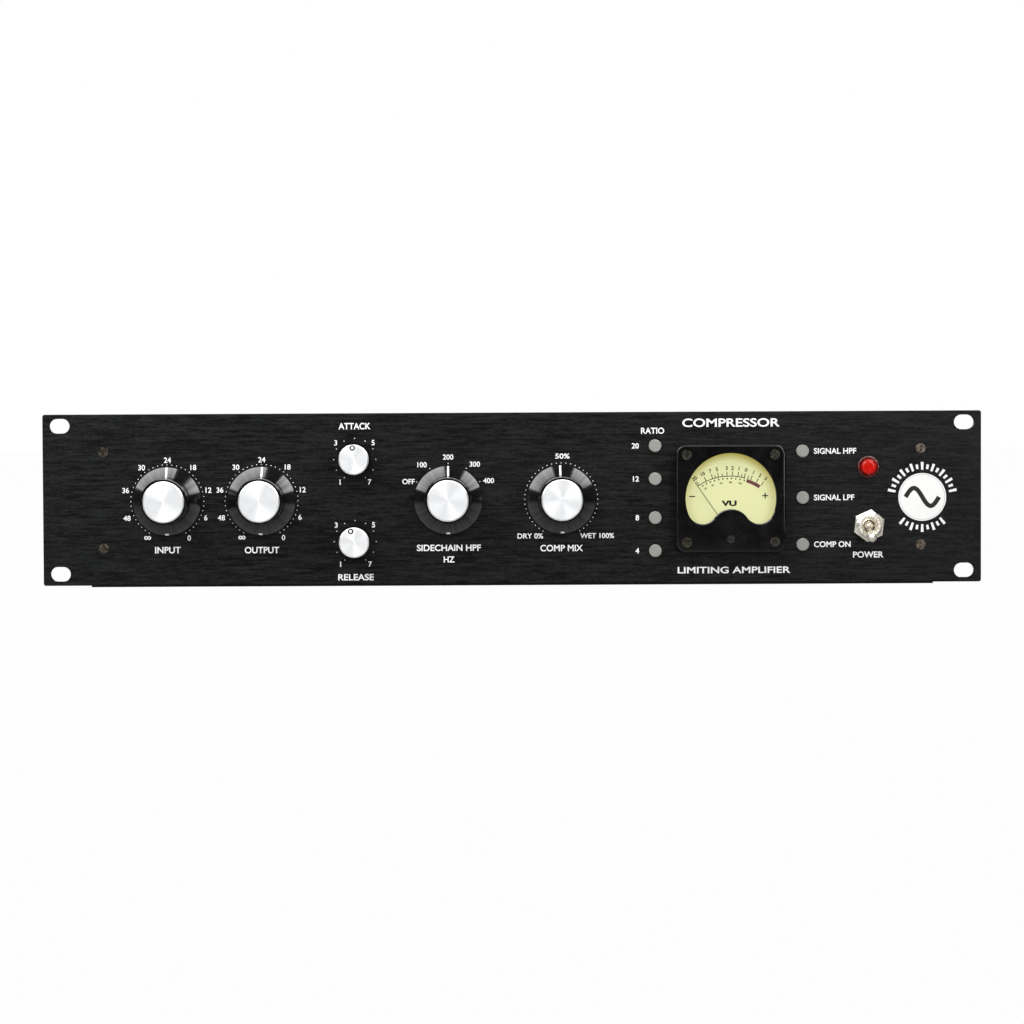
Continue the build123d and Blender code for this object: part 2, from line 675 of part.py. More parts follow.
def make_top_cover():
    """The U-shaped cover: top and two full-height sides, with two fields of vent slots."""
    with BuildPart() as cover:
        with BuildSketch(Plane.XZ):
            with Locations((0, CASE_BOTTOM)):
                Rectangle(CASE_WIDTH, CASE_TOP - CASE_BOTTOM, align=(Align.CENTER, Align.MIN))
                Rectangle(
                    CASE_WIDTH - 2 * COVER_THICK,
                    CASE_TOP - COVER_THICK - CASE_BOTTOM,
                    align=(Align.CENTER, Align.MIN),
                    mode=Mode.SUBTRACT,
                )
        extrude(amount=-CASE_DEPTH)
        folds = cover.edges().filter_by(Axis.Y).group_by(Axis.Z)[-1]
        fillet(folds, radius=COVER_THICK / 2)
        with BuildSketch(Plane.XY.offset(CASE_TOP)):
            with Locations(*[(x, VENT_CENTRE_Y) for x in VENT_CENTRES_X]):
                with GridLocations(VENT_PITCH_X, VENT_PITCH_Y, VENT_COLUMNS, VENT_ROWS):
                    SlotOverall(VENT_LENGTH, VENT_WIDTH, rotation=QUARTER_TURN)
            with Locations(*[(x, y) for x in TOP_SCREW_XS for y in TOP_SCREW_YS]):
                Circle(M3_HOLE)
        extrude(amount=-COVER_THICK, mode=Mode.SUBTRACT)
        with BuildSketch(Plane.YZ.offset(-CASE_WIDTH / 2)):
            with Locations(*[(y, SIDE_SCREW_Z) for y in SIDE_SCREW_YS]):
                Circle(M3_HOLE)
        extrude(amount=CASE_WIDTH, mode=Mode.SUBTRACT)
    save(cover, "top_cover")


def make_case_screws():
    """Pan-head screws of the cover, rear panel and rear connectors, all of one size."""
    with BuildPart() as screws:
        for x in TOP_SCREW_XS:
            for y in TOP_SCREW_YS:
                pan_screw(Plane(origin=(x, y, CASE_TOP), x_dir=(1, 0, 0), z_dir=(0, 0, 1)))
        for side in (-1, 1):
            for y in SIDE_SCREW_YS:
                pan_screw(
                    Plane(
                        origin=(side * CASE_WIDTH / 2, y, SIDE_SCREW_Z),
                        x_dir=(0, side, 0),
                        z_dir=(side, 0, 0),
                    )
                )
        for x in REAR_SCREW_XS:
            pan_screw(rear_plane(CASE_DEPTH, x, REAR_SCREW_Z))
        for x, z in XLR_SCREWS_AT:
            pan_screw(rear_plane(CASE_DEPTH + XLR_FLANGE_THICK, x, z))
        for x, z in INLET_SCREWS_AT:
            pan_screw(rear_plane(CASE_DEPTH + INLET_FLANGE_THICK, x, z))
    save(screws, "case_screws")


# ================================================================ knobs and their shafts
def make_large_knob(name, x, z):
    """A skirted knob: a conical skirt with a thin rim, a fine-fluted hub and a seat for the cap."""
    axis = turning_axis(x, z)
    with BuildPart() as knob:
        with BuildSketch(turning_plane(x, z)):
            with BuildLine():
                Polyline(
                    (SHAFT_RADIUS, NUT_CAVITY_TOP),
                    (NUT_CAVITY_RADIUS, NUT_CAVITY_TOP),
                    (NUT_CAVITY_RADIUS, KNOB_GAP),
                    (SKIRT_RADIUS, KNOB_GAP),
                    (SKIRT_RADIUS, KNOB_GAP + RIM_HEIGHT),
                    (HUB_RADIUS, SKIRT_TOP),
                    (HUB_TOP_RADIUS, HUB_TOP - HUB_EDGE),
                    (HUB_TOP_RADIUS - HUB_EDGE, HUB_TOP),
                    (CAP_RADIUS + CAP_SEAT_CLEARANCE, HUB_TOP),
                    (CAP_RADIUS + CAP_SEAT_CLEARANCE, CAP_SEAT),
                    (0, CAP_SEAT),
                    (0, SHAFT_TOP),
                    (SHAFT_RADIUS, SHAFT_TOP),
                    close=True,
                )
            make_face()
        revolve(axis=axis)
        with BuildSketch(front_plane(height(SKIRT_TOP), x, z)):
            with PolarLocations(HUB_RADIUS + FLUTE_RADIUS - FLUTE_DEPTH, FLUTE_COUNT):
                Circle(FLUTE_RADIUS)
        extrude(amount=FLUTE_TOP - SKIRT_TOP, mode=Mode.SUBTRACT)
    save(knob, f"{name}_knob")

    with BuildPart() as cap:
        with BuildSketch(front_plane(height(CAP_SEAT), x, z)):
            Circle(CAP_RADIUS)
        extrude(amount=CAP_TOP - CAP_SEAT)
        chamfer(cap.faces().sort_by(Axis.Y)[0].edges(), length=CAP_BEVEL)
    save(cap, f"{name}_knob_cap")
    make_shaft(f"{name}_shaft", x, z, SHAFT_TOP)


def make_small_knob(name, x, z):
    """A small knob: a fluted body with a low base ring and a cap that covers nearly all its face."""
    axis = turning_axis(x, z)
    with BuildPart() as knob:
        with BuildSketch(turning_plane(x, z)):
            with BuildLine():
                Polyline(
                    (SHAFT_RADIUS, SMALL_CAVITY_TOP),
                    (SMALL_CAVITY_RADIUS, SMALL_CAVITY_TOP),
                    (SMALL_CAVITY_RADIUS, KNOB_GAP),
                    (SMALL_SKIRT_RADIUS, KNOB_GAP),
                    (SMALL_SKIRT_RADIUS, KNOB_GAP + SMALL_RIM),
                    (SMALL_RADIUS, KNOB_GAP + SMALL_RIM),
                    (SMALL_RADIUS, SMALL_TOP),
                    (SMALL_CAP_RADIUS + CAP_SEAT_CLEARANCE, SMALL_TOP),
                    (SMALL_CAP_RADIUS + CAP_SEAT_CLEARANCE, SMALL_CAP_SEAT),
                    (0, SMALL_CAP_SEAT),
                    (0, SMALL_SHAFT_TOP),
                    (SHAFT_RADIUS, SMALL_SHAFT_TOP),
                    close=True,
                )
            make_face()
        revolve(axis=axis)
        with BuildSketch(front_plane(height(KNOB_GAP + SMALL_RIM), x, z)):
            with PolarLocations(SMALL_RADIUS + FLUTE_RADIUS - FLUTE_DEPTH, SMALL_FLUTE_COUNT):
                Circle(FLUTE_RADIUS)
        extrude(amount=SMALL_CAP_SEAT - FLUTE_RADIUS - KNOB_GAP - SMALL_RIM, mode=Mode.SUBTRACT)
    save(knob, f"{name}_knob")

    with BuildPart() as cap:
        with BuildSketch(front_plane(height(SMALL_CAP_SEAT), x, z)):
            Circle(SMALL_CAP_RADIUS)
        extrude(amount=SMALL_CAP_TOP - SMALL_CAP_SEAT)
        chamfer(cap.faces().sort_by(Axis.Y)[0].edges(), length=SMALL_CAP_BEVEL)
    save(cap, f"{name}_knob_cap")
    make_shaft(f"{name}_shaft", x, z, SMALL_SHAFT_TOP)


def make_shaft(name, x, z, top):
    """A plain control shaft that runs from inside its control to the end of the knob's bore."""
    with BuildPart() as shaft:
        with BuildSketch(front_plane(SHAFT_BACK, x, z)):
            Circle(SHAFT_RADIUS)
        extrude(amount=SHAFT_BACK - height(top))
    save(shaft, name)


def add_control(x, z, radius, depth, bushing, proud):
    """Add one round control behind the tray wall, with a threaded bushing and a bore for its shaft."""
    with BuildSketch(front_plane(WALL_BACK, x, z)) as can:
        Circle(radius)
    extrude(can.sketch, amount=-depth)
    with BuildSketch(front_plane(WALL_BACK, x, z)) as thread:
        Circle(bushing)
    extrude(thread.sketch, amount=WALL_BACK - height(proud))
    with BuildSketch(front_plane(WALL_BACK + depth, x, z)) as tabs:
        for step in (-1, 0, 1):
            with Locations((step * TAB_PITCH, -radius * math.cos(math.asin(step * TAB_PITCH / radius)))):
                Rectangle(TAB_WIDTH, 2 * TAB_LENGTH)
    extrude(tabs.sketch, amount=TAB_THICK)
    with BuildSketch(front_plane(height(proud), x, z)) as bore:
        Circle(SHAFT_RADIUS + SHAFT_CLEARANCE)
    extrude(bore.sketch, amount=height(proud) - POT_BORE_BACK, mode=Mode.SUBTRACT)


def make_controls():
    """Five potentiometers, one rotary switch and the nuts that clamp them to the panel."""
    with BuildPart() as pots:
        for x, z in LARGE_POTS:
            add_control(x, z, LARGE_POT_RADIUS, LARGE_POT_DEPTH, BUSHING_RADIUS, BUSHING_PROUD)
        for x, z in SMALL_KNOBS.values():
            add_control(x, z, SMALL_POT_RADIUS, SMALL_POT_DEPTH, SMALL_BUSHING_RADIUS, SMALL_PROUD)
    save(pots, "potentiometers")

    x, z = SIDECHAIN_AT
    with BuildPart() as rotary:
        add_control(x, z, SWITCH_RADIUS, SWITCH_DEPTH, BUSHING_RADIUS, BUSHING_PROUD)
        with BuildSketch(front_plane(WALL_BACK + SWITCH_DEPTH, x, z)):
            Circle(SWITCH_WAFER_RADIUS)
        extrude(amount=-SWITCH_WAFER)
    save(rotary, "rotary_switch")

    with BuildPart() as nuts:
        for x, z in LARGE_KNOBS.values():
            with BuildSketch(front_plane(PANEL_FRONT, x, z)):
                RegularPolygon(flats_radius(NUT_FLATS), HEX_SIDES)
                Circle(BUSHING_RADIUS + NUT_CLEARANCE, mode=Mode.SUBTRACT)
            extrude(amount=NUT_THICK)
        for x, z in SMALL_KNOBS.values():
            with BuildSketch(front_plane(PANEL_FRONT, x, z)):
                RegularPolygon(flats_radius(SMALL_NUT_FLATS), HEX_SIDES)
                Circle(SMALL_BUSHING_RADIUS + NUT_CLEARANCE, mode=Mode.SUBTRACT)
            extrude(amount=NUT_THICK)
    save(nuts, "control_nuts")


# ================================================================ push buttons
def make_button(name, x, z):
    """A round push button with a stop flange behind the tray wall and a stem into its switch."""
    with BuildPart() as button:
        with BuildSketch(front_plane(BUTTON_FLANGE_FRONT, x, z)):
            Circle(BUTTON_RADIUS)
        extrude(amount=BUTTON_FLANGE_FRONT - height(BUTTON_PROUD))
        chamfer(button.faces().sort_by(Axis.Y)[0].edges(), length=BUTTON_EDGE)
        with BuildSketch(front_plane(BUTTON_FLANGE_FRONT, x, z)):
            Circle(BUTTON_FLANGE_RADIUS)
        extrude(amount=BUTTON_FLANGE_FRONT - BUTTON_FLANGE_BACK)
        with BuildSketch(front_plane(BUTTON_FLANGE_BACK, x, z)):
            Circle(BUTTON_STEM_RADIUS)
        extrude(amount=BUTTON_FLANGE_BACK - BUTTON_STEM_BACK)
    save(button, name)


def make_button_switches():
    """Seven momentary switch bodies and the two upright boards that carry them."""
    with BuildPart() as switches:
        with BuildSketch(front_plane(PUSH_SWITCH_FRONT)):
            with Locations(*BUTTONS.values()):
                Rectangle(PUSH_SWITCH_SIZE, PUSH_SWITCH_SIZE)
        extrude(amount=PUSH_SWITCH_FRONT - PUSH_SWITCH_BACK)
        with BuildSketch(front_plane(PUSH_SWITCH_BACK)):
            for spots in (RATIO_AT, FILTER_AT):
                top = spots[0][1] + BUTTON_BOARD_MARGIN
                bottom = spots[-1][1] - BUTTON_BOARD_MARGIN
                with Locations((spots[0][0], (top + bottom) / 2)):
                    Rectangle(BUTTON_BOARD_WIDTH, top - bottom)
        extrude(amount=-BUTTON_BOARD_THICK)
        with BuildSketch(front_plane(PUSH_SWITCH_FRONT)):
            with Locations(*BUTTONS.values()):
                Circle(PUSH_BORE_RADIUS)
        extrude(amount=PUSH_SWITCH_FRONT - PUSH_BORE_BACK, mode=Mode.SUBTRACT)
    save(switches, "button_switches")


# ================================================================ meter
def make_meter_case():
    """The bezel with its kidney window, the clear lens and the round barrel behind the panel."""
    x, z = METER_AT
    plate_back = BEZEL_PROUD - BEZEL_PLATE
    with BuildPart() as bezel:
        with BuildSketch(front_plane(PANEL_FRONT, x, z)):
            RectangleRounded(BEZEL_WIDTH, BEZEL_HEIGHT, BEZEL_CORNER)
        extrude(amount=BEZEL_PROUD)
        fillet(bezel.faces().sort_by(Axis.Y)[0].edges(), radius=BEZEL_EDGE)
        with BuildSketch(front_plane(PANEL_FRONT, x, z)):
            Circle(LENS_RADIUS + NUT_CLEARANCE)
        extrude(amount=plate_back, mode=Mode.SUBTRACT)
        with BuildSketch(front_plane(height(plate_back), x, z)):
            meter_window()
        extrude(amount=BEZEL_PLATE, mode=Mode.SUBTRACT)
        chamfer(bezel.faces().sort_by(Axis.Y)[0].inner_wires()[0].edges(), length=WINDOW_EDGE)
        with BuildSketch(front_plane(height(plate_back), x, z)):
            with Locations((0, ADJUST_Z)):
                Circle(ADJUST_RADIUS + ADJUST_CLEARANCE)
        extrude(amount=BEZEL_PLATE, mode=Mode.SUBTRACT)
        with Locations(front_plane(height(BEZEL_PROUD))):
            with Locations(*METER_SCREWS_AT):
                CounterBoreHole(M3_HOLE, METER_SCREW_RECESS, METER_SCREW_SINK, BEZEL_PROUD)
    save(bezel, "meter_bezel")

    with BuildPart() as lens:
        with BuildSketch(front_plane(height(plate_back - LENS_GAP), x, z)):
            Circle(LENS_RADIUS)
            with Locations((0, ADJUST_Z)):
                Circle(ADJUST_NOTCH, mode=Mode.SUBTRACT)
        extrude(amount=-LENS_THICK)
    save(lens, "meter_lens")

    barrel_front = plate_back - LENS_THICK - 2 * LENS_GAP
    with BuildPart() as barrel:
        with BuildSketch(front_plane(height(barrel_front), x, z)):
            Circle(BARREL_RADIUS)
        extrude(amount=height(barrel_front) - BARREL_BACK)
        with BuildSketch(front_plane(height(barrel_front), x, z)):
            Circle(BARREL_RADIUS - BARREL_WALL)
        extrude(amount=height(barrel_front) - BARREL_BACK + BARREL_WALL, mode=Mode.SUBTRACT)
        with BuildSketch(rear_plane(BARREL_BACK, x, z)):
            with Locations((-METER_STUD_X, 0), (METER_STUD_X, 0)):
                Circle(METER_STUD_RADIUS)
        extrude(amount=METER_STUD_LENGTH)
    save(barrel, "meter_barrel")


def make_meter_screws():
    """Four recessed screws through the meter bezel, with the nuts behind the tray wall."""
    head_base = BEZEL_PROUD - METER_SCREW_SINK
    with BuildPart() as screws:
        for x, z in METER_SCREWS_AT:
            with BuildSketch(front_plane(height(head_base), x, z)):
                Circle(METER_SCREW_HEAD)
            extrude(amount=METER_SCREW_HEIGHT)
            with BuildSketch(front_plane(height(head_base), x, z)):
                Circle(M3_RADIUS)
            extrude(amount=height(head_base) - METER_SCREW_BACK)
            cross_recess(front_plane(height(head_base + METER_SCREW_HEIGHT), x, z))
            with BuildSketch(front_plane(WALL_BACK, x, z)):
                RegularPolygon(flats_radius(M3_NUT_FLATS), HEX_SIDES)
                Circle(M3_RADIUS + LENS_GAP, mode=Mode.SUBTRACT)
            extrude(amount=-M3_NUT_THICK)
    save(screws, "meter_screws")


def make_meter_movement():
    """The dial plate, the magnet with its core, and the needle with its coil on one staff."""
    x, z = METER_AT
    with BuildPart() as dial:
        with BuildSketch(front_plane(height(DIAL_FRONT), x, z)):
            Circle(DIAL_RADIUS)
            with Locations((0, DIAL_FOOT)):
                Rectangle(2 * DIAL_RADIUS, DIAL_RADIUS, align=(Align.CENTER, Align.MAX), mode=Mode.SUBTRACT)
        extrude(amount=-DIAL_THICK)
    save(dial, "meter_dial")

    pivot_x, pivot_z = PIVOT_AT
    core_front = COIL_FRONT + COIL_WIRE + CORE_GAP
    core_back = COIL_BACK - COIL_WIRE - CORE_GAP
    with BuildPart() as magnet:
        with BuildSketch(front_plane(core_front, pivot_x, pivot_z)):
            Circle(YOKE_OUTER)
            Circle(YOKE_INNER, mode=Mode.SUBTRACT)
        extrude(amount=core_front - YOKE_BACK)
        with BuildSketch(front_plane(core_front, pivot_x, pivot_z)):
            Circle(CORE_RADIUS)
            Rectangle(CORE_BRIDGE, YOKE_INNER + YOKE_OUTER)
        extrude(amount=core_front - core_back)
        with BuildSketch(front_plane(YOKE_BACK, pivot_x, pivot_z)):
            Circle(YOKE_OUTER)
        extrude(amount=YOKE_BACK - BARREL_BACK + BARREL_WALL)
    save(magnet, "meter_magnet")

    lean = math.radians(NEEDLE_REST)
    along = Plane(
        origin=(pivot_x, height(NEEDLE_HEIGHT), pivot_z),
        x_dir=(math.cos(lean), 0, -math.sin(lean)),
        z_dir=(0, -1, 0),
    )
    coil_plane = Plane(
        origin=(pivot_x, 0, pivot_z),
        x_dir=(math.cos(lean), 0, -math.sin(lean)),
        z_dir=(math.sin(lean), 0, math.cos(lean)),
    )
    with BuildPart() as needle:
        with BuildSketch(along):
            with BuildLine():
                Polyline(
                    (-NEEDLE_ROOT, -NEEDLE_TAIL),
                    (NEEDLE_ROOT, -NEEDLE_TAIL),
                    (NEEDLE_ROOT, 0),
                    (NEEDLE_TIP / 2, NEEDLE_TAIL),
                    (NEEDLE_TIP / 2, NEEDLE_LENGTH),
                    (-NEEDLE_TIP / 2, NEEDLE_LENGTH),
                    (-NEEDLE_TIP / 2, NEEDLE_TAIL),
                    (-NEEDLE_ROOT, 0),
                    close=True,
                )
            make_face()
            Circle(NEEDLE_HUB)
        extrude(amount=NEEDLE_THICK)
        with BuildSketch(along):
            Circle(STAFF_RADIUS)
        extrude(amount=height(NEEDLE_HEIGHT) - COIL_FRONT - COIL_WIRE)
        with BuildSketch(coil_plane):
            with Locations((0, (COIL_FRONT + COIL_BACK) / 2)):
                Rectangle(COIL_SIDE, COIL_BACK - COIL_FRONT)
                Rectangle(
                    COIL_SIDE - 2 * COIL_WIRE, COIL_BACK - COIL_FRONT - 2 * COIL_WIRE, mode=Mode.SUBTRACT
                )
        extrude(amount=COIL_THICK / 2, both=True)
    save(needle, "meter_needle")


def make_zero_adjuster():
    """The slotted zero adjuster in the bezel, with a captive flange and an off-centre pin behind it."""
    x, z = ADJUST_AT
    plate_back = BEZEL_PROUD - BEZEL_PLATE
    with BuildPart() as adjuster:
        with BuildSketch(front_plane(height(plate_back - ADJUST_CLEARANCE), x, z)):
            Circle(ADJUST_RADIUS)
        extrude(amount=BEZEL_PLATE + ADJUST_CLEARANCE)
        with BuildSketch(front_plane(height(plate_back - ADJUST_CLEARANCE), x, z)):
            Circle(ADJUST_FLANGE)
        extrude(amount=-ADJUST_FLANGE_THICK)
        with BuildSketch(front_plane(height(plate_back - ADJUST_FLANGE_THICK), x, z)):
            with Locations((0, ADJUST_PIN_OFFSET)):
                Circle(ADJUST_PIN_RADIUS)
        extrude(amount=-ADJUST_PIN_LENGTH)
        with BuildSketch(front_plane(height(BEZEL_PROUD), x, z)):
            Rectangle(2 * ADJUST_FLANGE, CROSS_WIDTH)
        extrude(amount=-CROSS_DEPTH, mode=Mode.SUBTRACT)
    save(adjuster, "zero_adjuster")


# ================================================================ pilot lamp and toggle switch
def make_pilot():
    """The pilot lamp: a flanged holder through the panel and a domed lens in its bore."""
    x, z = PILOT_AT
    with BuildPart() as holder:
        with BuildSketch(front_plane(PANEL_FRONT, x, z)):
            Circle(PILOT_FLANGE)
        extrude(amount=PILOT_FLANGE_HEIGHT)
        fillet(holder.faces().sort_by(Axis.Y)[0].edges(), radius=PILOT_FLANGE_HEIGHT / 2)
        with BuildSketch(front_plane(PANEL_FRONT, x, z)):
            Circle(PILOT_HOLDER_RADIUS)
        extrude(amount=PANEL_FRONT - PILOT_HOLDER_BACK)
        with BuildSketch(front_plane(height(PILOT_FLANGE_HEIGHT), x, z)):
            Circle(PILOT_BORE)
        extrude(amount=height(PILOT_FLANGE_HEIGHT) - PILOT_LENS_BACK, mode=Mode.SUBTRACT)
    save(holder, "pilot_holder")

    with BuildPart() as lens:
        with BuildSketch(front_plane(PILOT_LENS_BACK, x, z)):
            Circle(PILOT_LENS_RADIUS)
        extrude(amount=PILOT_LENS_BACK - height(PILOT_LENS_PROUD))
        fillet(lens.faces().sort_by(Axis.Y)[0].edges(), radius=PILOT_LENS_ROUND)
    save(lens, "pilot_lens")


def make_toggle():
    """The power switch: body and bushing, its hexagon nut, and the bat-shaped lever in the down place."""
    x, z = TOGGLE_AT
    axis = turning_axis(x, z)
    nut_corner = flats_radius(TOGGLE_NUT_FLATS) + PANEL_THICK
    wall = -PANEL_THICK - WALL_BACK
    cavity_end = -PANEL_THICK - TOGGLE_CAVITY_BACK
    with BuildPart() as body:
        with BuildSketch(front_plane(WALL_BACK, x, z)):
            Rectangle(TOGGLE_BODY_WIDTH, TOGGLE_BODY_HEIGHT)
        extrude(amount=WALL_BACK - TOGGLE_BODY_BACK)
        with BuildSketch(front_plane(WALL_BACK, x, z)):
            Circle(TOGGLE_BUSHING)
        extrude(amount=WALL_BACK - height(TOGGLE_BUSHING_TOP))
        chamfer(body.faces().sort_by(Axis.Y)[0].edges(), length=PANEL_EDGE)
        with BuildSketch(turning_plane(x, z)):
            with BuildLine():
                Polyline(
                    (0, TOGGLE_BUSHING_TOP),
                    (TOGGLE_MOUTH, TOGGLE_BUSHING_TOP),
                    (TOGGLE_THROAT, TOGGLE_THROAT_TOP),
                    (TOGGLE_THROAT, wall),
                    (TOGGLE_CAVITY, wall),
                    (TOGGLE_CAVITY, cavity_end),
                    (0, cavity_end),
                    close=True,
                )
            make_face()
        revolve(axis=axis, mode=Mode.SUBTRACT)
        with BuildSketch(rear_plane(TOGGLE_BODY_BACK, x, z)):
            with GridLocations(TAB_PITCH, TOGGLE_TAB_RISE, *TOGGLE_TABS):
                Rectangle(TAB_WIDTH, TAB_THICK)
        extrude(amount=TAB_LENGTH)
    save(body, "toggle_body")

    with BuildPart() as nut:
        with BuildSketch(front_plane(PANEL_FRONT, x, z)):
            RegularPolygon(flats_radius(TOGGLE_NUT_FLATS), HEX_SIDES, rotation=POINT_UP + TOGGLE_NUT_TURN)
        extrude(amount=TOGGLE_NUT_TOP)
        with BuildSketch(turning_plane(x, z)):
            with BuildLine():
                Polyline(
                    (nut_corner, TOGGLE_NUT_TOP),
                    (TOGGLE_NUT_FLATS / 2 - PANEL_EDGE, TOGGLE_NUT_TOP),
                    (nut_corner, TOGGLE_NUT_TOP / 2),
                    close=True,
                )
            make_face()
        revolve(axis=axis, mode=Mode.SUBTRACT)
        with BuildSketch(front_plane(height(TOGGLE_NUT_TOP), x, z)):
            Circle(TOGGLE_COLLAR)
        extrude(amount=TOGGLE_COLLAR_TOP - TOGGLE_NUT_TOP)
        chamfer(nut.faces().sort_by(Axis.Y)[0].edges(), length=TOGGLE_COLLAR_EDGE)
        with BuildSketch(front_plane(PANEL_FRONT, x, z)):
            Circle(TOGGLE_BUSHING + NUT_CLEARANCE)
        extrude(amount=TOGGLE_COLLAR_TOP, mode=Mode.SUBTRACT)
    save(nut, "toggle_nut")

    tilt = math.radians(TOGGLE_TILT)
    pivot = (x, height(TOGGLE_PIVOT), z)
    lever_axis = Axis(pivot, (0, -math.cos(tilt), -math.sin(tilt)))
    tip_centre = TOGGLE_REACH - TOGGLE_TIP
    with BuildPart() as lever:
        with BuildSketch(Plane(origin=pivot, x_dir=(1, 0, 0), z_dir=(0, math.sin(tilt), -math.cos(tilt)))):
            with BuildLine():
                Line((0, -TOGGLE_TAIL), (TOGGLE_TAIL_RADIUS, -TOGGLE_TAIL))
                Line((TOGGLE_TAIL_RADIUS, -TOGGLE_TAIL), (TOGGLE_TAIL_RADIUS, 0))
                Line((TOGGLE_TAIL_RADIUS, 0), (TOGGLE_NECK, 0))
                Spline(
                    (TOGGLE_NECK, 0),
                    (TOGGLE_NECK, TOGGLE_WAIST),
                    (TOGGLE_TIP, tip_centre),
                    tangents=((0, 1), (0, 1)),
                )
                ThreePointArc(
                    (TOGGLE_TIP, tip_centre),
                    (TOGGLE_TIP / math.sqrt(2), tip_centre + TOGGLE_TIP / math.sqrt(2)),
                    (0, TOGGLE_REACH),
                )
                Line((0, TOGGLE_REACH), (0, -TOGGLE_TAIL))
            make_face()
        revolve(axis=lever_axis)
        with Locations(pivot):
            Sphere(TOGGLE_BALL)
    save(lever, "toggle_lever")


# ================================================================ inner works
def make_main_board():
    """The main circuit board with its mounting holes, and the pillars it stands on."""
    pillars = GridLocations(STANDOFF_PITCH_X, STANDOFF_PITCH_Y, *STANDOFF_GRID)
    with BuildPart() as board:
        with BuildSketch(Plane.XY.offset(BOARD_BOTTOM)):
            with Locations(BOARD_CENTRE):
                Rectangle(BOARD_RIGHT - BOARD_LEFT, BOARD_BACK - BOARD_FRONT)
                with GridLocations(STANDOFF_PITCH_X, STANDOFF_PITCH_Y, *STANDOFF_GRID):
                    Circle(M3_HOLE, mode=Mode.SUBTRACT)
        extrude(amount=BOARD_THICK)
    save(board, "main_board")

    with BuildPart() as standoffs:
        for spot in pillars:
            x = BOARD_CENTRE[0] + spot.position.X
            y = BOARD_CENTRE[1] + spot.position.Y
            with BuildSketch(Plane((x, y, FLOOR_TOP))):
                RegularPolygon(STANDOFF_RADIUS, HEX_SIDES)
            extrude(amount=BOARD_BOTTOM - FLOOR_TOP)
            with BuildSketch(Plane((x, y, BOARD_BOTTOM))):
                Circle(M3_RADIUS)
            extrude(amount=BOARD_THICK)
            with BuildSketch(Plane((x, y, BOARD_TOP))):
                Circle(PAN_HEAD_RADIUS)
            extrude(amount=PAN_HEAD_HEIGHT)
            cross_recess(Plane((x, y, BOARD_TOP + PAN_HEAD_HEIGHT)))
    save(standoffs, "board_standoffs")


def make_board_components():
    """Capacitors, chips, relays and the finned heatsink that stand on the main board."""
    fin_pitch = (SINK_WIDTH - SINK_FIN) / (SINK_FINS - 1)
    with BuildPart() as components:
        with BuildSketch(Plane((*BIG_CAPS_AT, BOARD_TOP))):
            with GridLocations(*BIG_CAP_PITCH, 2, 2):
                Circle(BIG_CAP_RADIUS)
        extrude(amount=BIG_CAP_HEIGHT)
        with BuildSketch(Plane((*SMALL_CAPS_AT, BOARD_TOP))):
            with GridLocations(*CHANNEL_PITCH, CHANNELS, 2):
                Circle(SMALL_CAP_CAN)
        extrude(amount=SMALL_CAP_HEIGHT)
        with BuildSketch(Plane((*CHIPS_AT, BOARD_TOP))):
            with GridLocations(*CHANNEL_PITCH, CHANNELS, 1):
                Rectangle(CHIP_SIZE[0], CHIP_SIZE[1])
        extrude(amount=CHIP_SIZE[2])
        with BuildSketch(Plane((*RELAYS_AT, BOARD_TOP))):
            with GridLocations(*RELAY_PITCH, 2, 2):
                Rectangle(RELAY_SIZE[0], RELAY_SIZE[1])
        extrude(amount=RELAY_SIZE[2])
        with BuildSketch(Plane((*SINK_AT, BOARD_TOP))):
            Rectangle(SINK_WIDTH, SINK_BASE, align=(Align.CENTER, Align.MIN))
            with Locations((0, SINK_DEPTH / 2)):
                with GridLocations(fin_pitch, fin_pitch, SINK_FINS, 1):
                    Rectangle(SINK_FIN, SINK_DEPTH)
        extrude(amount=SINK_HEIGHT)
    save(components, "board_components")


def make_audio_transformers():
    """The input and output transformers in their shielding cans."""
    with BuildPart() as cans:
        with BuildSketch(Plane((0, CAN_Y, BOARD_TOP))):
            with Locations(*[(x, 0) for x in CAN_XS]):
                Rectangle(CAN_SIZE[0], CAN_SIZE[1])
        extrude(amount=CAN_SIZE[2])
        fillet(cans.faces().group_by(Axis.Z)[-1].edges(), radius=PAD_THICK)
    save(cans, "audio_transformers")


def make_power_transformer():
    """The toroidal mains transformer, clamped to the floor by a dish, a pad and a bolt."""
    x, y = TOROID_AT
    bottom = FLOOR_TOP + PAD_THICK
    top = bottom + TOROID_HEIGHT
    with BuildPart() as toroid:
        with BuildSketch(Plane(origin=(x, y, bottom), x_dir=(1, 0, 0), z_dir=(0, -1, 0))):
            with Locations(((TOROID_INNER + TOROID_OUTER) / 2, TOROID_HEIGHT / 2)):
                RectangleRounded(TOROID_OUTER - TOROID_INNER, TOROID_HEIGHT, TOROID_ROUND)
        revolve(axis=Axis((x, y, bottom), (0, 0, 1)))
    save(toroid, "power_transformer")

    with BuildPart() as clamp:
        with BuildSketch(Plane((x, y, FLOOR_TOP))):
            Circle(DISH_RADIUS)
            Circle(BOLT_RADIUS + NUT_CLEARANCE, mode=Mode.SUBTRACT)
        extrude(amount=PAD_THICK)
        with BuildSketch(Plane((x, y, top))):
            Circle(DISH_RADIUS)
            Circle(BOLT_RADIUS + NUT_CLEARANCE, mode=Mode.SUBTRACT)
        extrude(amount=DISH_THICK)
        with BuildSketch(Plane((x, y, FLOOR_TOP))):
            Circle(BOLT_RADIUS)
        extrude(amount=top + DISH_THICK - FLOOR_TOP)
        with BuildSketch(Plane((x, y, top + DISH_THICK))):
            RegularPolygon(BOLT_HEAD, HEX_SIDES)
        extrude(amount=BOLT_HEAD_HEIGHT)
    save(clamp, "transformer_clamp")


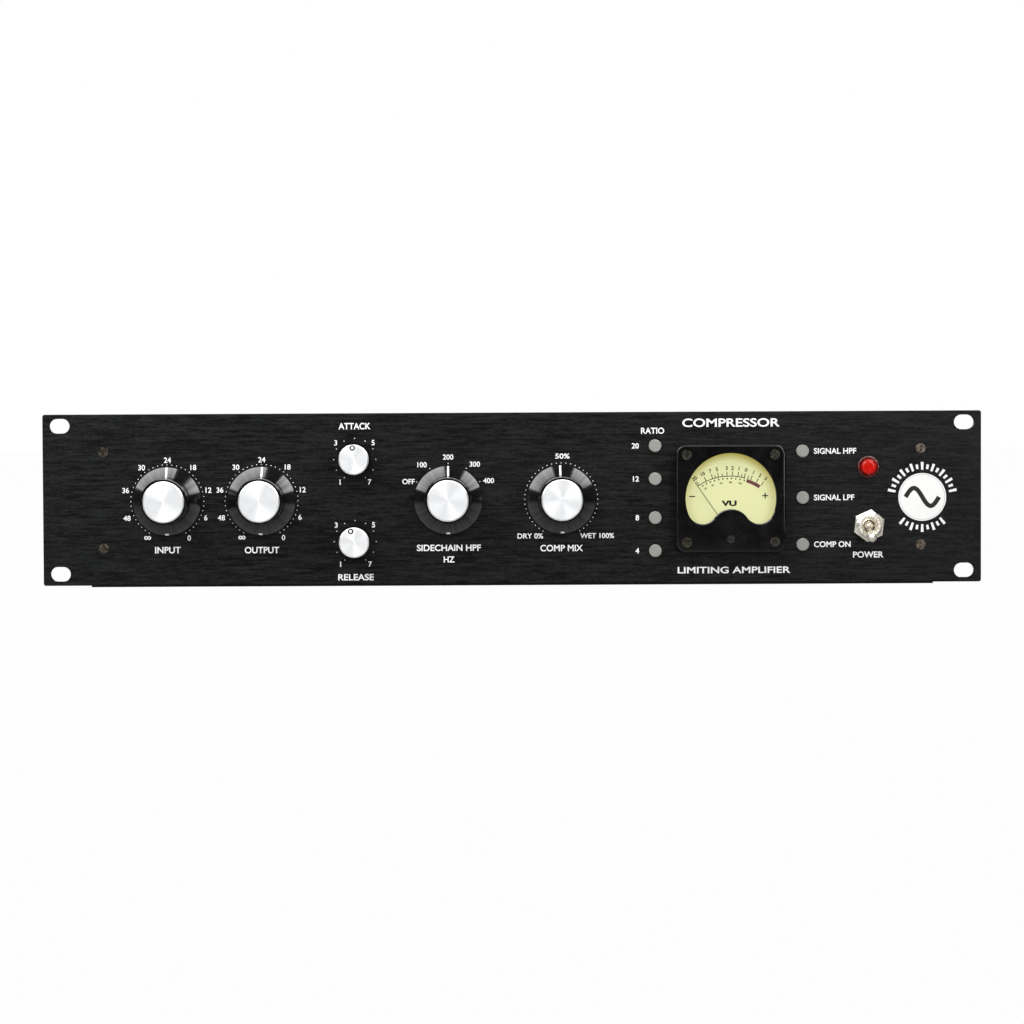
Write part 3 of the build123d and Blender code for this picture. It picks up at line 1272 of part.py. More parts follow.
# ================================================================ rear connectors
def make_xlr(name, x, male):
    """A panel XLR connector: pins in an open shell if male, or a socketed insert and latch if female."""
    outer = CASE_DEPTH + XLR_FLANGE_THICK
    floor = outer - XLR_CAVITY_DEPTH
    with BuildPart() as xlr:
        with BuildSketch(rear_plane(CASE_DEPTH, x, XLR_Z)):
            RectangleRounded(XLR_FLANGE_WIDTH, XLR_FLANGE_HEIGHT, XLR_FLANGE_CORNER)
        extrude(amount=XLR_FLANGE_THICK)
        with BuildSketch(rear_plane(CASE_DEPTH, x, XLR_Z)):
            Circle(XLR_BODY_RADIUS)
        extrude(amount=-XLR_BODY_DEPTH)
        with BuildSketch(rear_plane(CASE_DEPTH, x, XLR_Z)):
            with Locations(*[(-side * XLR_SCREW_X, side * XLR_SCREW_Z) for side in (-1, 1)]):
                Circle(M3_HOLE)
        extrude(amount=XLR_FLANGE_THICK, mode=Mode.SUBTRACT)
        with BuildSketch(rear_plane(floor, x, XLR_Z)):
            Circle(XLR_CAVITY)
            if not male:
                Circle(XLR_INSERT, mode=Mode.SUBTRACT)
        extrude(amount=XLR_CAVITY_DEPTH, mode=Mode.SUBTRACT)
        pin_turn = QUARTER_TURN if male else -QUARTER_TURN
        pin_spots = PolarLocations(XLR_PIN_CIRCLE, XLR_PINS, start_angle=pin_turn)
        if male:
            with BuildSketch(rear_plane(floor, x, XLR_Z)):
                with pin_spots:
                    Circle(XLR_PIN_RADIUS)
            extrude(amount=XLR_CAVITY_DEPTH - 2 * XLR_PIN_RADIUS)
        else:
            with BuildSketch(rear_plane(floor + XLR_PIN_RADIUS, x, XLR_Z)):
                with pin_spots:
                    Circle(XLR_SOCKET_RADIUS)
            extrude(amount=XLR_CAVITY_DEPTH, mode=Mode.SUBTRACT)
            with BuildSketch(rear_plane(CASE_DEPTH, x, XLR_Z + XLR_FLANGE_HEIGHT / 2 - LATCH_HEIGHT)):
                Rectangle(LATCH_WIDTH, LATCH_HEIGHT)
            extrude(amount=XLR_FLANGE_THICK + LATCH_HEIGHT)
        with BuildSketch(rear_plane(CASE_DEPTH - XLR_BODY_DEPTH, x, XLR_Z)):
            with PolarLocations(XLR_PIN_CIRCLE, XLR_PINS, start_angle=QUARTER_TURN):
                Rectangle(TAB_WIDTH, TAB_THICK)
        extrude(amount=-TAB_LENGTH)
    save(xlr, name)


def make_jack_sockets():
    """Three 6.35 mm jack sockets with their nuts: line in, line out and the sidechain link."""
    mouth = CASE_DEPTH + JACK_PROUD
    with BuildPart() as jacks:
        for x in JACK_XS:
            with BuildSketch(rear_plane(REAR_FRONT, x, JACK_Z)):
                Rectangle(JACK_BODY, JACK_BODY)
            extrude(amount=-JACK_BODY_DEPTH)
            with BuildSketch(rear_plane(REAR_FRONT, x, JACK_Z)):
                Circle(JACK_BUSHING)
            extrude(amount=mouth - REAR_FRONT)
            with BuildSketch(rear_plane(mouth, x, JACK_Z)):
                Circle(JACK_BORE)
            extrude(amount=-JACK_BORE_DEPTH, mode=Mode.SUBTRACT)
            with BuildSketch(rear_plane(CASE_DEPTH, x, JACK_Z)):
                RegularPolygon(flats_radius(JACK_NUT_FLATS), HEX_SIDES)
                Circle(JACK_BUSHING + JACK_NUT_CLEARANCE, mode=Mode.SUBTRACT)
            extrude(amount=JACK_NUT_THICK)
    save(jacks, "jack_sockets")


def make_mains_inlet():
    """The mains inlet with three blades, and the fuse drawer that slides in below the socket."""
    outer = CASE_DEPTH + INLET_FLANGE_THICK
    with BuildPart() as inlet:
        with BuildSketch(rear_plane(CASE_DEPTH, INLET_X, INLET_Z)):
            RectangleRounded(INLET_FLANGE_WIDTH, INLET_FLANGE_HEIGHT, INLET_FLANGE_CORNER)
            with Locations((-INLET_SCREW_X, 0), (INLET_SCREW_X, 0)):
                Circle(M3_HOLE, mode=Mode.SUBTRACT)
        extrude(amount=INLET_FLANGE_THICK)
        with BuildSketch(rear_plane(CASE_DEPTH, INLET_X, INLET_Z)):
            Rectangle(INLET_BODY_WIDTH, INLET_BODY_HEIGHT)
        extrude(amount=-INLET_BODY_DEPTH)
        with BuildSketch(rear_plane(outer, INLET_X, INLET_Z + SOCKET_RAISE)) as mouth:
            Rectangle(SOCKET_WIDTH, SOCKET_HEIGHT)
            chamfer(mouth.vertices().group_by(Axis.Z)[-1], length=SOCKET_CORNER)
        extrude(amount=-SOCKET_DEPTH, mode=Mode.SUBTRACT)
        with BuildSketch(rear_plane(outer - SOCKET_DEPTH, INLET_X, INLET_Z + SOCKET_RAISE)):
            with Locations((-BLADE_X, -BLADE_RAISE), (BLADE_X, -BLADE_RAISE), (0, BLADE_RAISE)):
                Rectangle(BLADE_WIDTH, BLADE_HEIGHT)
        extrude(amount=BLADE_LENGTH)
        with BuildSketch(rear_plane(outer, INLET_X, INLET_Z + DRAWER_DROP)):
            Rectangle(DRAWER_WIDTH + 2 * DRAWER_GAP, DRAWER_HEIGHT + 2 * DRAWER_GAP)
        extrude(amount=-DRAWER_DEPTH - DRAWER_GAP, mode=Mode.SUBTRACT)
        with BuildSketch(rear_plane(CASE_DEPTH - INLET_BODY_DEPTH, INLET_X, INLET_Z)):
            with GridLocations(BLADE_X, BLADE_X, BLADES, 1):
                Rectangle(TAB_THICK, TAB_PITCH)
        extrude(amount=-TAB_LENGTH)
    save(inlet, "mains_inlet")

    with BuildPart() as drawer:
        with BuildSketch(rear_plane(outer, INLET_X, INLET_Z + DRAWER_DROP)):
            Rectangle(DRAWER_WIDTH, DRAWER_HEIGHT)
        extrude(amount=-DRAWER_DEPTH)
        with BuildSketch(rear_plane(outer, INLET_X, INLET_Z + DRAWER_DROP)):
            Rectangle(DRAWER_WIDTH, DRAWER_HEIGHT)
        extrude(amount=DRAWER_LIP)
        with BuildSketch(rear_plane(outer + DRAWER_LIP, INLET_X, INLET_Z + DRAWER_DROP)):
            Rectangle(DRAWER_GRIP_WIDTH, DRAWER_GRIP_HEIGHT)
        extrude(amount=-DRAWER_GRIP_DEPTH, mode=Mode.SUBTRACT)
    save(drawer, "fuse_drawer")


# ================================================================ inner leads
def make_wiring():
    """The longer leads: two from the mains inlet to the power switch, one from the meter to the board."""
    inlet_back = CASE_DEPTH - INLET_BODY_DEPTH - TAB_LENGTH - LEAD_GAP
    switch_back = TOGGLE_BODY_BACK + TAB_LENGTH + LEAD_GAP
    meter_back = BARREL_BACK + METER_STUD_LENGTH + LEAD_GAP
    routes = []
    for corners in (SWITCH_LEAD, RETURN_LEAD):
        start = (corners[0][0], inlet_back, corners[0][2])
        end = (corners[-1][0], switch_back, corners[-1][2])
        routes.append([start, *corners, end])
    start = (METER_LEAD[0][0], meter_back, METER_LEAD[0][2])
    end = (METER_LEAD[-1][0], METER_LEAD[-1][1], BOARD_TOP + LEAD_GAP)
    routes.append([start, *METER_LEAD, end])
    with BuildPart() as wiring:
        for route in routes:
            runs = [Vector(*b) - Vector(*a) for a, b in zip(route, route[1:])]
            radii = [
                LEAD_BEND * min(a.length, b.length) / math.tan(math.radians(a.get_angle(b) / 2))
                for a, b in zip(runs, runs[1:])
            ]
            with BuildLine() as path:
                FilletPolyline(*route, radius=radii)
            with BuildSketch(Plane(origin=route[0], z_dir=runs[0])):
                Circle(LEAD_RADIUS)
            sweep(path=path.wires()[0])
    save(wiring, "internal_wiring")


# ================================================================ build everything
make_front_panel()
make_panel_screws()
make_case_tray()
make_rear_panel()
make_top_cover()
make_case_screws()
for knob_name, (knob_x, knob_z) in LARGE_KNOBS.items():
    make_large_knob(knob_name, knob_x, knob_z)
for knob_name, (knob_x, knob_z) in SMALL_KNOBS.items():
    make_small_knob(knob_name, knob_x, knob_z)
make_controls()
for button_name, (button_x, button_z) in BUTTONS.items():
    make_button(button_name, button_x, button_z)
make_button_switches()
make_meter_case()
make_meter_screws()
make_meter_movement()
make_zero_adjuster()
make_pilot()
make_toggle()
make_main_board()
make_board_components()
make_audio_transformers()
make_power_transformer()
make_xlr("xlr_input", XLR_IN_X, male=False)
make_xlr("xlr_output", XLR_OUT_X, male=True)
make_jack_sockets()
make_mains_inlet()
make_wiring()
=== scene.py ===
"""The looks of the rack compressor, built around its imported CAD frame. Everything is in metres."""

import bmesh
import bpy
import math
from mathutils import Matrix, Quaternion, Vector
from mathutils.bvhtree import BVHTree


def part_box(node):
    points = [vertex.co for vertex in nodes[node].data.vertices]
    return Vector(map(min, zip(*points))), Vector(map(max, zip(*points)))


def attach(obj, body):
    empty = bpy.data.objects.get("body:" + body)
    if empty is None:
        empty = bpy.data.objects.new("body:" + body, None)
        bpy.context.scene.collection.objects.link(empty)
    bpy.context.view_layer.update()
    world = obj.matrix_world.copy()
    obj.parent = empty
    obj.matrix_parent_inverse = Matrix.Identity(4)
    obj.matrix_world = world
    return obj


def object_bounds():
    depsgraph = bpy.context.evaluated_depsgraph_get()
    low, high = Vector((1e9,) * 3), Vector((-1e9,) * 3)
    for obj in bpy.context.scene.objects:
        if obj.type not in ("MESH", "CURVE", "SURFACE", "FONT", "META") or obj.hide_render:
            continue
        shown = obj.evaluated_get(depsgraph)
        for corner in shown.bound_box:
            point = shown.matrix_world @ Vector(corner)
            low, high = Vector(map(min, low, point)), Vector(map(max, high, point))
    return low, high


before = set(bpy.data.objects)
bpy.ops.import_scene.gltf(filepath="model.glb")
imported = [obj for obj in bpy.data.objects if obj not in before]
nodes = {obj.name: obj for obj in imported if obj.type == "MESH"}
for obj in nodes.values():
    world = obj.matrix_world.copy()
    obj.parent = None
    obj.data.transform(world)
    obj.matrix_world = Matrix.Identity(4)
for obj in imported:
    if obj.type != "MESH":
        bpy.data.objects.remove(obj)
cad_low, cad_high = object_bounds()

MM = 0.001
INK_LIFT = 0.03 * MM
INK_THICK = 0.02 * MM
LEGEND_BOLD = 0.018
NUMBER_BOLD = 0.015


# ---------------------------------------------------------------- places read from the frame
def centre(node):
    """The middle of a CAD node's box."""
    low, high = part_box(node)
    return (low + high) / 2


PANEL_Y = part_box("front_panel")[0].y
PRINT_Y = PANEL_Y - INK_LIFT
LARGE = ("input", "output", "sidechain", "mix")
SMALL = ("attack", "release")
# Where each pointer stands in the photo, in degrees clockwise from the top.
POINTER = {"input": 0.0, "output": 1.7, "sidechain": 0.0, "mix": -2.0, "attack": -5.4, "release": -15.9}
RATIO_BUTTONS = ("ratio_20_button", "ratio_12_button", "ratio_8_button", "ratio_4_button")
FILTER_BUTTONS = ("signal_hpf_button", "signal_lpf_button", "compressor_on_button")
METER = centre("meter_bezel")
EMBLEM = Vector((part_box("front_panel")[1].x - 30.3 * MM, 0, centre("front_panel").z - 0.4 * MM))


# ---------------------------------------------------------------- camera, light and stage
CAMERA_X = -14.9 * MM
CAMERA_Z = 36.6 * MM
CAMERA_BACK = 1.460
CAMERA_LENS = 99.82
CAMERA_SHIFT = 0.0282
CAMERA_ROLL = -0.28
AIM_Z = -7.05 * MM

# Each light's name, place, the point it faces, width and height, and power in watts.
LIGHTS = (
    ("box_left", (-0.71, -0.44, 0.42), (-0.71, -0.44, 0.0), (1.24, 0.62), 12),
    ("box_right", (0.272, -0.26, 0.295), (-0.10, -0.20, 0.215), (0.26, 0.32), 1.35),
    ("front_fill", (0.0, -1.9, 0.70), (0, 0, 0), (1.3, 0.45), 7),
    ("side_right", (0.64, -1.45, 0.12), (0.2, 0, 0), (0.25, 0.5), 5),
    ("side_left", (-0.78, -1.40, 0.10), (-0.2, 0, 0), (0.25, 0.5), 3),
    ("top_strip", (0.06, -0.07, 0.42), (0.06, -0.05, 0.0), (0.9, 0.10), 1.9),
    ("back_wash", (0.0, 1.3, 1.6), (0, 0.3, 0), (2.0, 1.2), 9),
    ("rear_fill", (-0.7, 2.0, 0.8), (0, 0.23, 0), (1.4, 0.9), 20),
)


def make_camera():
    """A long lens a little above and left of the panel's middle, shifted sideways to frame it."""
    data = bpy.data.cameras.new("camera")
    data.lens = CAMERA_LENS
    data.shift_x = CAMERA_SHIFT
    data.sensor_width = 36
    data.clip_start = 0.05
    data.clip_end = 60
    camera = bpy.data.objects.new("camera", data)
    bpy.context.scene.collection.objects.link(camera)
    place = Vector((CAMERA_X, PANEL_Y - CAMERA_BACK, CAMERA_Z))
    aim = Vector((CAMERA_X, PANEL_Y, AIM_Z))
    roll = Quaternion((0, 0, 1), math.radians(CAMERA_ROLL))
    camera.location = place
    camera.rotation_mode = "QUATERNION"
    camera.rotation_quaternion = (aim - place).to_track_quat("-Z", "Y") @ roll
    bpy.context.scene.camera = camera


def area_light(name, place, aim, size, power):
    """A rectangular soft light that faces a point."""
    data = bpy.data.lights.new(name, "AREA")
    data.shape = "RECTANGLE"
    data.size, data.size_y = size
    data.energy = power
    light = bpy.data.objects.new(name, data)
    bpy.context.scene.collection.objects.link(light)
    light.location = Vector(place)
    light.rotation_mode = "QUATERNION"
    light.rotation_quaternion = (Vector(aim) - Vector(place)).to_track_quat("-Z", "Y")


def make_lights():
    """A long soft box over the left and a small one on the right, with a gap between them for the knobs,
    a high front fill, a light on each side of the lens, a strip over the panel's top edge, and two
    lights behind for the case and the rear panel."""
    for light in LIGHTS:
        area_light(*light)


def make_world():
    """A white background for the camera, and a dim room for what the object reflects."""
    world = bpy.data.worlds.new("studio")
    bpy.context.scene.world = world
    world.use_nodes = True
    tree = world.node_tree
    tree.nodes.clear()
    seen = tree.nodes.new("ShaderNodeBackground")
    seen.inputs["Color"].default_value = (1, 1, 1, 1)
    seen.inputs["Strength"].default_value = 1.0
    lit = tree.nodes.new("ShaderNodeBackground")
    lit.inputs["Color"].default_value = (0.9, 0.95, 1, 1)
    lit.inputs["Strength"].default_value = 0.07
    path = tree.nodes.new("ShaderNodeLightPath")
    mix = tree.nodes.new("ShaderNodeMixShader")
    out = tree.nodes.new("ShaderNodeOutputWorld")
    tree.links.new(path.outputs["Is Camera Ray"], mix.inputs[0])
    tree.links.new(lit.outputs[0], mix.inputs[1])
    tree.links.new(seen.outputs[0], mix.inputs[2])
    tree.links.new(mix.outputs[0], out.inputs[0])
    scene = bpy.context.scene
    scene.view_settings.view_transform = "Standard"
    scene.view_settings.look = "None"
    scene.view_settings.exposure = 0.0


FLOOR_GAP = 0.2 * MM
# Painted light on the floor: what the object mirrors is paler near the case and darker further out, between
# these two distances in metres.
FLOOR_PALE = 0.12
FLOOR_DARK = 0.55
FLOOR_WHITE = 0.985


def make_floor():
    """A plain white floor that the case stands on. What the object mirrors of it is a painted pool of
    light: its colour darkens with distance from the middle, between the two floor distances above in
    metres, and FLOOR_WHITE is the share of white that the camera sees."""
    data = bpy.data.meshes.new("floor")
    shape = bmesh.new()
    bmesh.ops.create_circle(shape, cap_ends=True, radius=9.0, segments=96)
    shape.to_mesh(data)
    shape.free()
    floor = bpy.data.objects.new("floor", data)
    bpy.context.scene.collection.objects.link(floor)
    floor.location.z = cad_low.z - FLOOR_GAP
    paint = Paint("floor_white", (0.8, 0.8, 0.8), rough=0.8)
    paint.shader.inputs["Specular IOR Level"].default_value = 0.0
    reach = paint.node("VectorMath", operation="LENGTH")
    paint.link(paint.place(), reach.inputs[0])
    # Painted pool of light: the floor colour that reflections see is paler near the middle and darker
    # further out.
    paint.tint(reach.outputs["Value"], (0.34, 0.335, 0.33), (0.06, 0.06, 0.06), FLOOR_PALE, FLOOR_DARK)
    white = paint.node("Emission")
    path = paint.node("LightPath")
    share = paint.node("Math", operation="MULTIPLY")
    share.inputs[1].default_value = FLOOR_WHITE
    paint.link(path.outputs["Is Camera Ray"], share.inputs[0])
    mix = paint.node("MixShader")
    paint.link(share.outputs[0], mix.inputs[0])
    paint.link(paint.shader.outputs[0], mix.inputs[1])
    paint.link(white.outputs[0], mix.inputs[2])
    paint.link(mix.outputs[0], paint.tree.nodes["Material Output"].inputs["Surface"])
    floor.data.materials.append(paint.material)


# ---------------------------------------------------------------- materials
class Paint:
    """A Principled material and short calls for the nodes that give it its grain."""

    def __init__(self, name, colour, rough=0.5, metal=0.0, **sockets):
        """Start from one colour, and set any other socket by its name with _ for a space."""
        self.material = bpy.data.materials.new(name)
        self.material.use_nodes = True
        self.tree = self.material.node_tree
        self.shader = self.tree.nodes["Principled BSDF"]
        self.shader.inputs["Base Color"].default_value = (*colour, 1)
        self.shader.inputs["Roughness"].default_value = rough
        self.shader.inputs["Metallic"].default_value = metal
        for label, value in sockets.items():
            self.shader.inputs[label.replace("_", " ")].default_value = value
        self.material.diffuse_color = (*colour, 1)

    def node(self, kind, **settings):
        """A new shader node with its settings."""
        made = self.tree.nodes.new("ShaderNode" + kind)
        for label, value in settings.items():
            setattr(made, label, value)
        return made

    def link(self, source, target):
        """Join an output to an input."""
        self.tree.links.new(source, target)

    def set(self, label, source):
        """Drive a socket of the surface."""
        self.link(source, self.shader.inputs[label])

    def place(self, stretch=(1, 1, 1), shift=(0, 0, 0), source="Object"):
        """Coordinates on the piece, stretched by a factor along each axis and then shifted."""
        coordinates = self.node("TexCoord")
        mapping = self.node("Mapping")
        mapping.inputs["Scale"].default_value = stretch
        mapping.inputs["Location"].default_value = shift
        self.link(coordinates.outputs[source], mapping.inputs["Vector"])
        return mapping.outputs["Vector"]

    def across(self, shift, source="Object"):
        """Each point's shifted place across the front, and its distance from the origin there."""
        flat = self.node("VectorMath", operation="MULTIPLY")
        flat.inputs[1].default_value = (1, 0, 1)
        self.link(self.place(shift=shift, source=source), flat.inputs[0])
        length = self.node("VectorMath", operation="LENGTH")
        self.link(flat.outputs[0], length.inputs[0])
        return flat.outputs[0], length.outputs["Value"]

    def noise(self, scale, detail=2.0, rough=0.5, stretch=(1, 1, 1), shift=(0, 0, 0)):
        """A cloud of grain over the piece."""
        texture = self.node("TexNoise")
        texture.inputs["Scale"].default_value = scale
        texture.inputs["Detail"].default_value = detail
        texture.inputs["Roughness"].default_value = rough
        self.link(self.place(stretch, shift), texture.inputs["Vector"])
        return texture.outputs["Fac"]

    def span(self, source, low, high, start=0.3, end=0.7):
        """Map a value that runs from start to end to one that runs from low to high."""
        ranged = self.node("MapRange")
        ranged.inputs["From Min"].default_value = start
        ranged.inputs["From Max"].default_value = end
        ranged.inputs["To Min"].default_value = low
        ranged.inputs["To Max"].default_value = high
        self.link(source, ranged.inputs["Value"])
        return ranged.outputs["Result"]

    def blend(self, factor, first, second):
        """A colour between two colours."""
        mix = self.node("Mix", data_type="RGBA")
        mix.inputs[6].default_value = (*first, 1)
        mix.inputs[7].default_value = (*second, 1)
        self.link(factor, mix.inputs[0])
        return mix.outputs[2]

    def tint(self, source, first, second, start=0.3, end=0.7):
        """Colour the surface from one colour to another as a value runs from start to end."""
        self.set("Base Color", self.blend(self.span(source, 0, 1, start, end), first, second))

    def polish(self, source, low, high, start=0.3, end=0.7):
        """Vary the roughness from low to high as a value runs from start to end."""
        self.set("Roughness", self.span(source, low, high, start, end))

    def sum(self, first, second, share=0.5):
        """The second value plus a share of the first."""
        mix = self.node("Math", operation="MULTIPLY_ADD")
        mix.inputs[1].default_value = share
        self.link(first, mix.inputs[0])
        self.link(second, mix.inputs[2])
        return mix.outputs[0]

    def bump(self, source, strength, distance):
        """Raise the surface by a value."""
        bump = self.node("Bump")
        bump.inputs["Strength"].default_value = strength
        bump.inputs["Distance"].default_value = distance
        self.link(source, bump.inputs["Height"])
        self.set("Normal", bump.outputs["Normal"])


def brushed_black():
    """Black anodised aluminium, brushed from side to side."""
    paint = Paint("brushed_black", (0.008, 0.008, 0.008), rough=0.42)
    paint.shader.inputs["Specular IOR Level"].default_value = 0.10
    fine = paint.noise(1.0, detail=3, rough=0.75, stretch=(160, 160, 1700))
    broad = paint.noise(1.0, detail=2, rough=0.6, stretch=(55, 55, 640), shift=(3, 0, 7))
    speckle = paint.noise(900, detail=2, rough=0.6, stretch=(0.5, 1, 1))
    streaks = paint.sum(broad, fine, 0.8)
    grain = paint.sum(speckle, streaks, 0.5)
    dark, light = (0.0022, 0.0023, 0.0024), (0.0098, 0.0105, 0.0108)
    paint.tint(grain, dark, light, 0.98, 1.36)
    paint.polish(streaks, 0.36, 0.5, 0.7, 1.15)
    paint.set("Specular IOR Level", paint.span(grain, 0.075, 0.125, 0.98, 1.36))
    paint.bump(grain, strength=0.25, distance=0.03 * MM)
    return paint.material


def powder_black():
    """Fine-textured black powder coat on folded steel."""
    paint = Paint("powder_black", (0.014, 0.014, 0.015), rough=0.5)
    paint.shader.inputs["Specular IOR Level"].default_value = 0.3
    grain = paint.noise(1900, detail=3, rough=0.6)
    cloud = paint.noise(9, detail=2, rough=0.5)
    paint.tint(cloud, (0.010, 0.010, 0.011), (0.018, 0.018, 0.019))
    paint.polish(grain, 0.42, 0.62)
    paint.bump(grain, strength=0.4, distance=0.12 * MM)
    return paint.material


def from_axis(paint):
    """Each point's place across the turning axis of a round piece, and its distance from that axis."""
    return paint.across(shift=(-0.5, 0, -0.5), source="Generated")


def knob_plastic():
    """Glossy black phenolic, polished in rays from the middle, duller towards the hub."""
    paint = Paint("knob_plastic", (0.004, 0.004, 0.004), rough=0.12)
    flat, length = from_axis(paint)
    outward = paint.node("VectorMath", operation="NORMALIZE")
    paint.link(flat, outward.inputs[0])
    rays = paint.node("TexNoise")
    rays.inputs["Scale"].default_value = 9
    rays.inputs["Detail"].default_value = 4
    rays.inputs["Roughness"].default_value = 0.7
    paint.link(outward.outputs[0], rays.inputs["Vector"])
    streak = paint.span(rays.outputs["Fac"], -0.22, 0.22)
    outer = paint.span(length, 0.5, 0.92, 0.36, 0.49)
    paint.set("Specular IOR Level", paint.sum(streak, outer, 1.0))
    haze = paint.noise(160, detail=4, rough=0.6)
    dust = paint.noise(2400, detail=2, rough=0.6)
    paint.polish(haze, 0.09, 0.13)
    paint.tint(dust, (0.003, 0.003, 0.003), (0.009, 0.009, 0.009), 0.55, 0.8)
    paint.bump(rays.outputs["Fac"], strength=0.05, distance=0.2 * MM)
    return paint.material


def turned_aluminium():
    """Bright aluminium faced on a lathe: fine rings and the fan of light that they give."""
    paint = Paint("turned_aluminium", (0.93, 0.94, 0.95), rough=0.42, metal=1.0)
    paint.shader.inputs["Anisotropic"].default_value = 0.72
    paint.shader.inputs["Anisotropic Rotation"].default_value = 0.25
    tangent = paint.node("Tangent", direction_type="RADIAL", axis="Y")
    paint.set("Tangent", tangent.outputs["Tangent"])
    length = from_axis(paint)[1]
    rings = paint.node("TexNoise", noise_dimensions="1D")
    rings.inputs["Scale"].default_value = 110
    rings.inputs["Detail"].default_value = 4
    paint.link(length, rings.inputs["W"])
    paint.polish(rings.outputs["Fac"], 0.40, 0.46)
    paint.tint(rings.outputs["Fac"], (0.84, 0.85, 0.86), (0.90, 0.91, 0.92))
    paint.bump(rings.outputs["Fac"], strength=0.04, distance=0.04 * MM)
    return paint.material


def bright_nickel():
    """Nickel plate, a little warm, with faint polishing marks."""
    paint = Paint("bright_nickel", (0.88, 0.83, 0.73), rough=0.2, metal=0.78)
    marks = paint.noise(300, detail=4, rough=0.6, stretch=(1, 1, 3))
    paint.polish(marks, 0.18, 0.23)
    paint.tint(marks, (0.85, 0.80, 0.69), (0.91, 0.87, 0.78))
    return paint.material


def worn_screw():
    """Black oxide steel rubbed bright in places."""
    paint = Paint("worn_screw", (0.12, 0.10, 0.08), rough=0.28, metal=0.9)
    wear = paint.noise(600, detail=3, rough=0.55)
    paint.tint(wear, (0.030, 0.026, 0.020), (0.16, 0.133, 0.10), 0.35, 0.75)
    paint.polish(wear, 0.2, 0.36)
    paint.bump(wear, strength=0.1, distance=0.1 * MM)
    return paint.material


def black_oxide():
    """Blackened screws that have worn to a brown sheen."""
    paint = Paint("black_oxide", (0.03, 0.027, 0.02), rough=0.35, metal=0.6)
    wear = paint.noise(1200, detail=4, rough=0.65)
    paint.tint(wear, (0.010, 0.009, 0.006), (0.09, 0.078, 0.045), 0.45, 0.75)
    paint.polish(wear, 0.25, 0.42)
    return paint.material


def zinc_plate():
    """Zinc plated steel, faintly blue and mottled."""
    paint = Paint("zinc_plate", (0.6, 0.61, 0.62), rough=0.35, metal=1.0)
    spangle = paint.noise(420, detail=3, rough=0.5)
    paint.tint(spangle, (0.5, 0.52, 0.54), (0.7, 0.7, 0.69))
    paint.polish(spangle, 0.28, 0.45)
    paint.bump(spangle, strength=0.05, distance=0.1 * MM)
    return paint.material


def button_plastic():
    """Fine matt grey plastic."""
    paint = Paint("button_plastic", (0.26, 0.253, 0.235), rough=0.55)
    grain = paint.noise(2600, detail=3, rough=0.6)
    paint.tint(grain, (0.205, 0.202, 0.187), (0.26, 0.256, 0.241))
    paint.polish(grain, 0.48, 0.62)
    paint.bump(grain, strength=0.15, distance=0.08 * MM)
    return paint.material


def meter_moulding():
    """Glossy black acrylic of the meter bezel."""
    paint = Paint("meter_moulding", (0.003, 0.003, 0.003), rough=0.1)
    paint.shader.inputs["Specular IOR Level"].default_value = 0.36
    haze = paint.noise(120, detail=3, rough=0.6)
    paint.polish(haze, 0.07, 0.15)
    paint.tint(haze, (0.002, 0.002, 0.002), (0.005, 0.005, 0.005))
    return paint.material


def clear_window():
    """A thin clear window that shows only by its gloss."""
    paint = Paint("clear_window", (0.03, 0.03, 0.03), rough=0.04, Alpha=0.05)
    haze = paint.noise(60, detail=3, rough=0.6)
    paint.polish(haze, 0.03, 0.07)
    return paint.material


def lit_dial():
    """Printed cream card lit from behind, amber where the lamp light fades under the bezel's edge."""
    paint = Paint("lit_dial", (0.85, 0.86, 0.52), rough=0.6)
    flat, length = paint.across(shift=(-METER.x, 0, -METER.z))
    apart = paint.node("SeparateXYZ")
    paint.link(flat, apart.inputs[0])
    edge = paint.span(length, 0, 1, 18.8 * MM, 23.0 * MM)
    rise = paint.span(apart.outputs["Z"], 0.25, 1, -4 * MM, 20 * MM)
    shade = paint.node("Math", operation="MULTIPLY")
    paint.link(edge, shade.inputs[0])
    paint.link(rise, shade.inputs[1])
    fibre = paint.noise(900, detail=3, rough=0.6)
    paint.set("Emission Color", paint.blend(shade.outputs[0], (0.88, 0.88, 0.46), (0.56, 0.50, 0.10)))
    paint.set("Base Color", paint.blend(shade.outputs[0], (0.28, 0.285, 0.15), (0.16, 0.13, 0.02)))
    paint.shader.inputs["Emission Strength"].default_value = 0.68
    paint.polish(fibre, 0.5, 0.7)
    paint.bump(fibre, strength=0.05, distance=0.05 * MM)
    return paint.material


def lit_red():
    """The red pilot lens with the lamp's glow in its middle."""
    paint = Paint("lit_red", (0.31, 0.003, 0.001), rough=0.16)
    paint.shader.inputs["Specular IOR Level"].default_value = 0.3
    spot = centre("pilot_lens")
    length = paint.across(shift=(-spot.x, 0, -spot.z))[1]
    fade = paint.span(length, 0, 1, 2.6 * MM, 4.0 * MM)
    paint.set("Emission Color", paint.blend(fade, (1.0, 0.010, 0.002), (0.20, 0.001, 0.0005)))
    paint.shader.inputs["Emission Strength"].default_value = 0.20
    grain = paint.noise(700, detail=2, rough=0.5)
    paint.polish(grain, 0.08, 0.16)
    return paint.material


def dark_red():
    """The deep red rim around the pilot lens."""
    paint = Paint("dark_red", (0.05, 0.002, 0.002), rough=0.12, Coat_Weight=0.5, Coat_Roughness=0.04)
    grain = paint.noise(500, detail=2, rough=0.5)
    paint.polish(grain, 0.08, 0.18)
    paint.tint(grain, (0.035, 0.001, 0.001), (0.08, 0.004, 0.003))
    return paint.material


def white_ink():
    """Screen-printed white legend ink."""
    paint = Paint("white_ink", (0.81, 0.81, 0.80), rough=0.55)
    grain = paint.noise(1500, detail=3, rough=0.6)
    paint.tint(grain, (0.77, 0.77, 0.76), (0.85, 0.85, 0.84))
    paint.polish(grain, 0.48, 0.62)
    paint.bump(grain, strength=0.1, distance=0.04 * MM)
    return paint.material


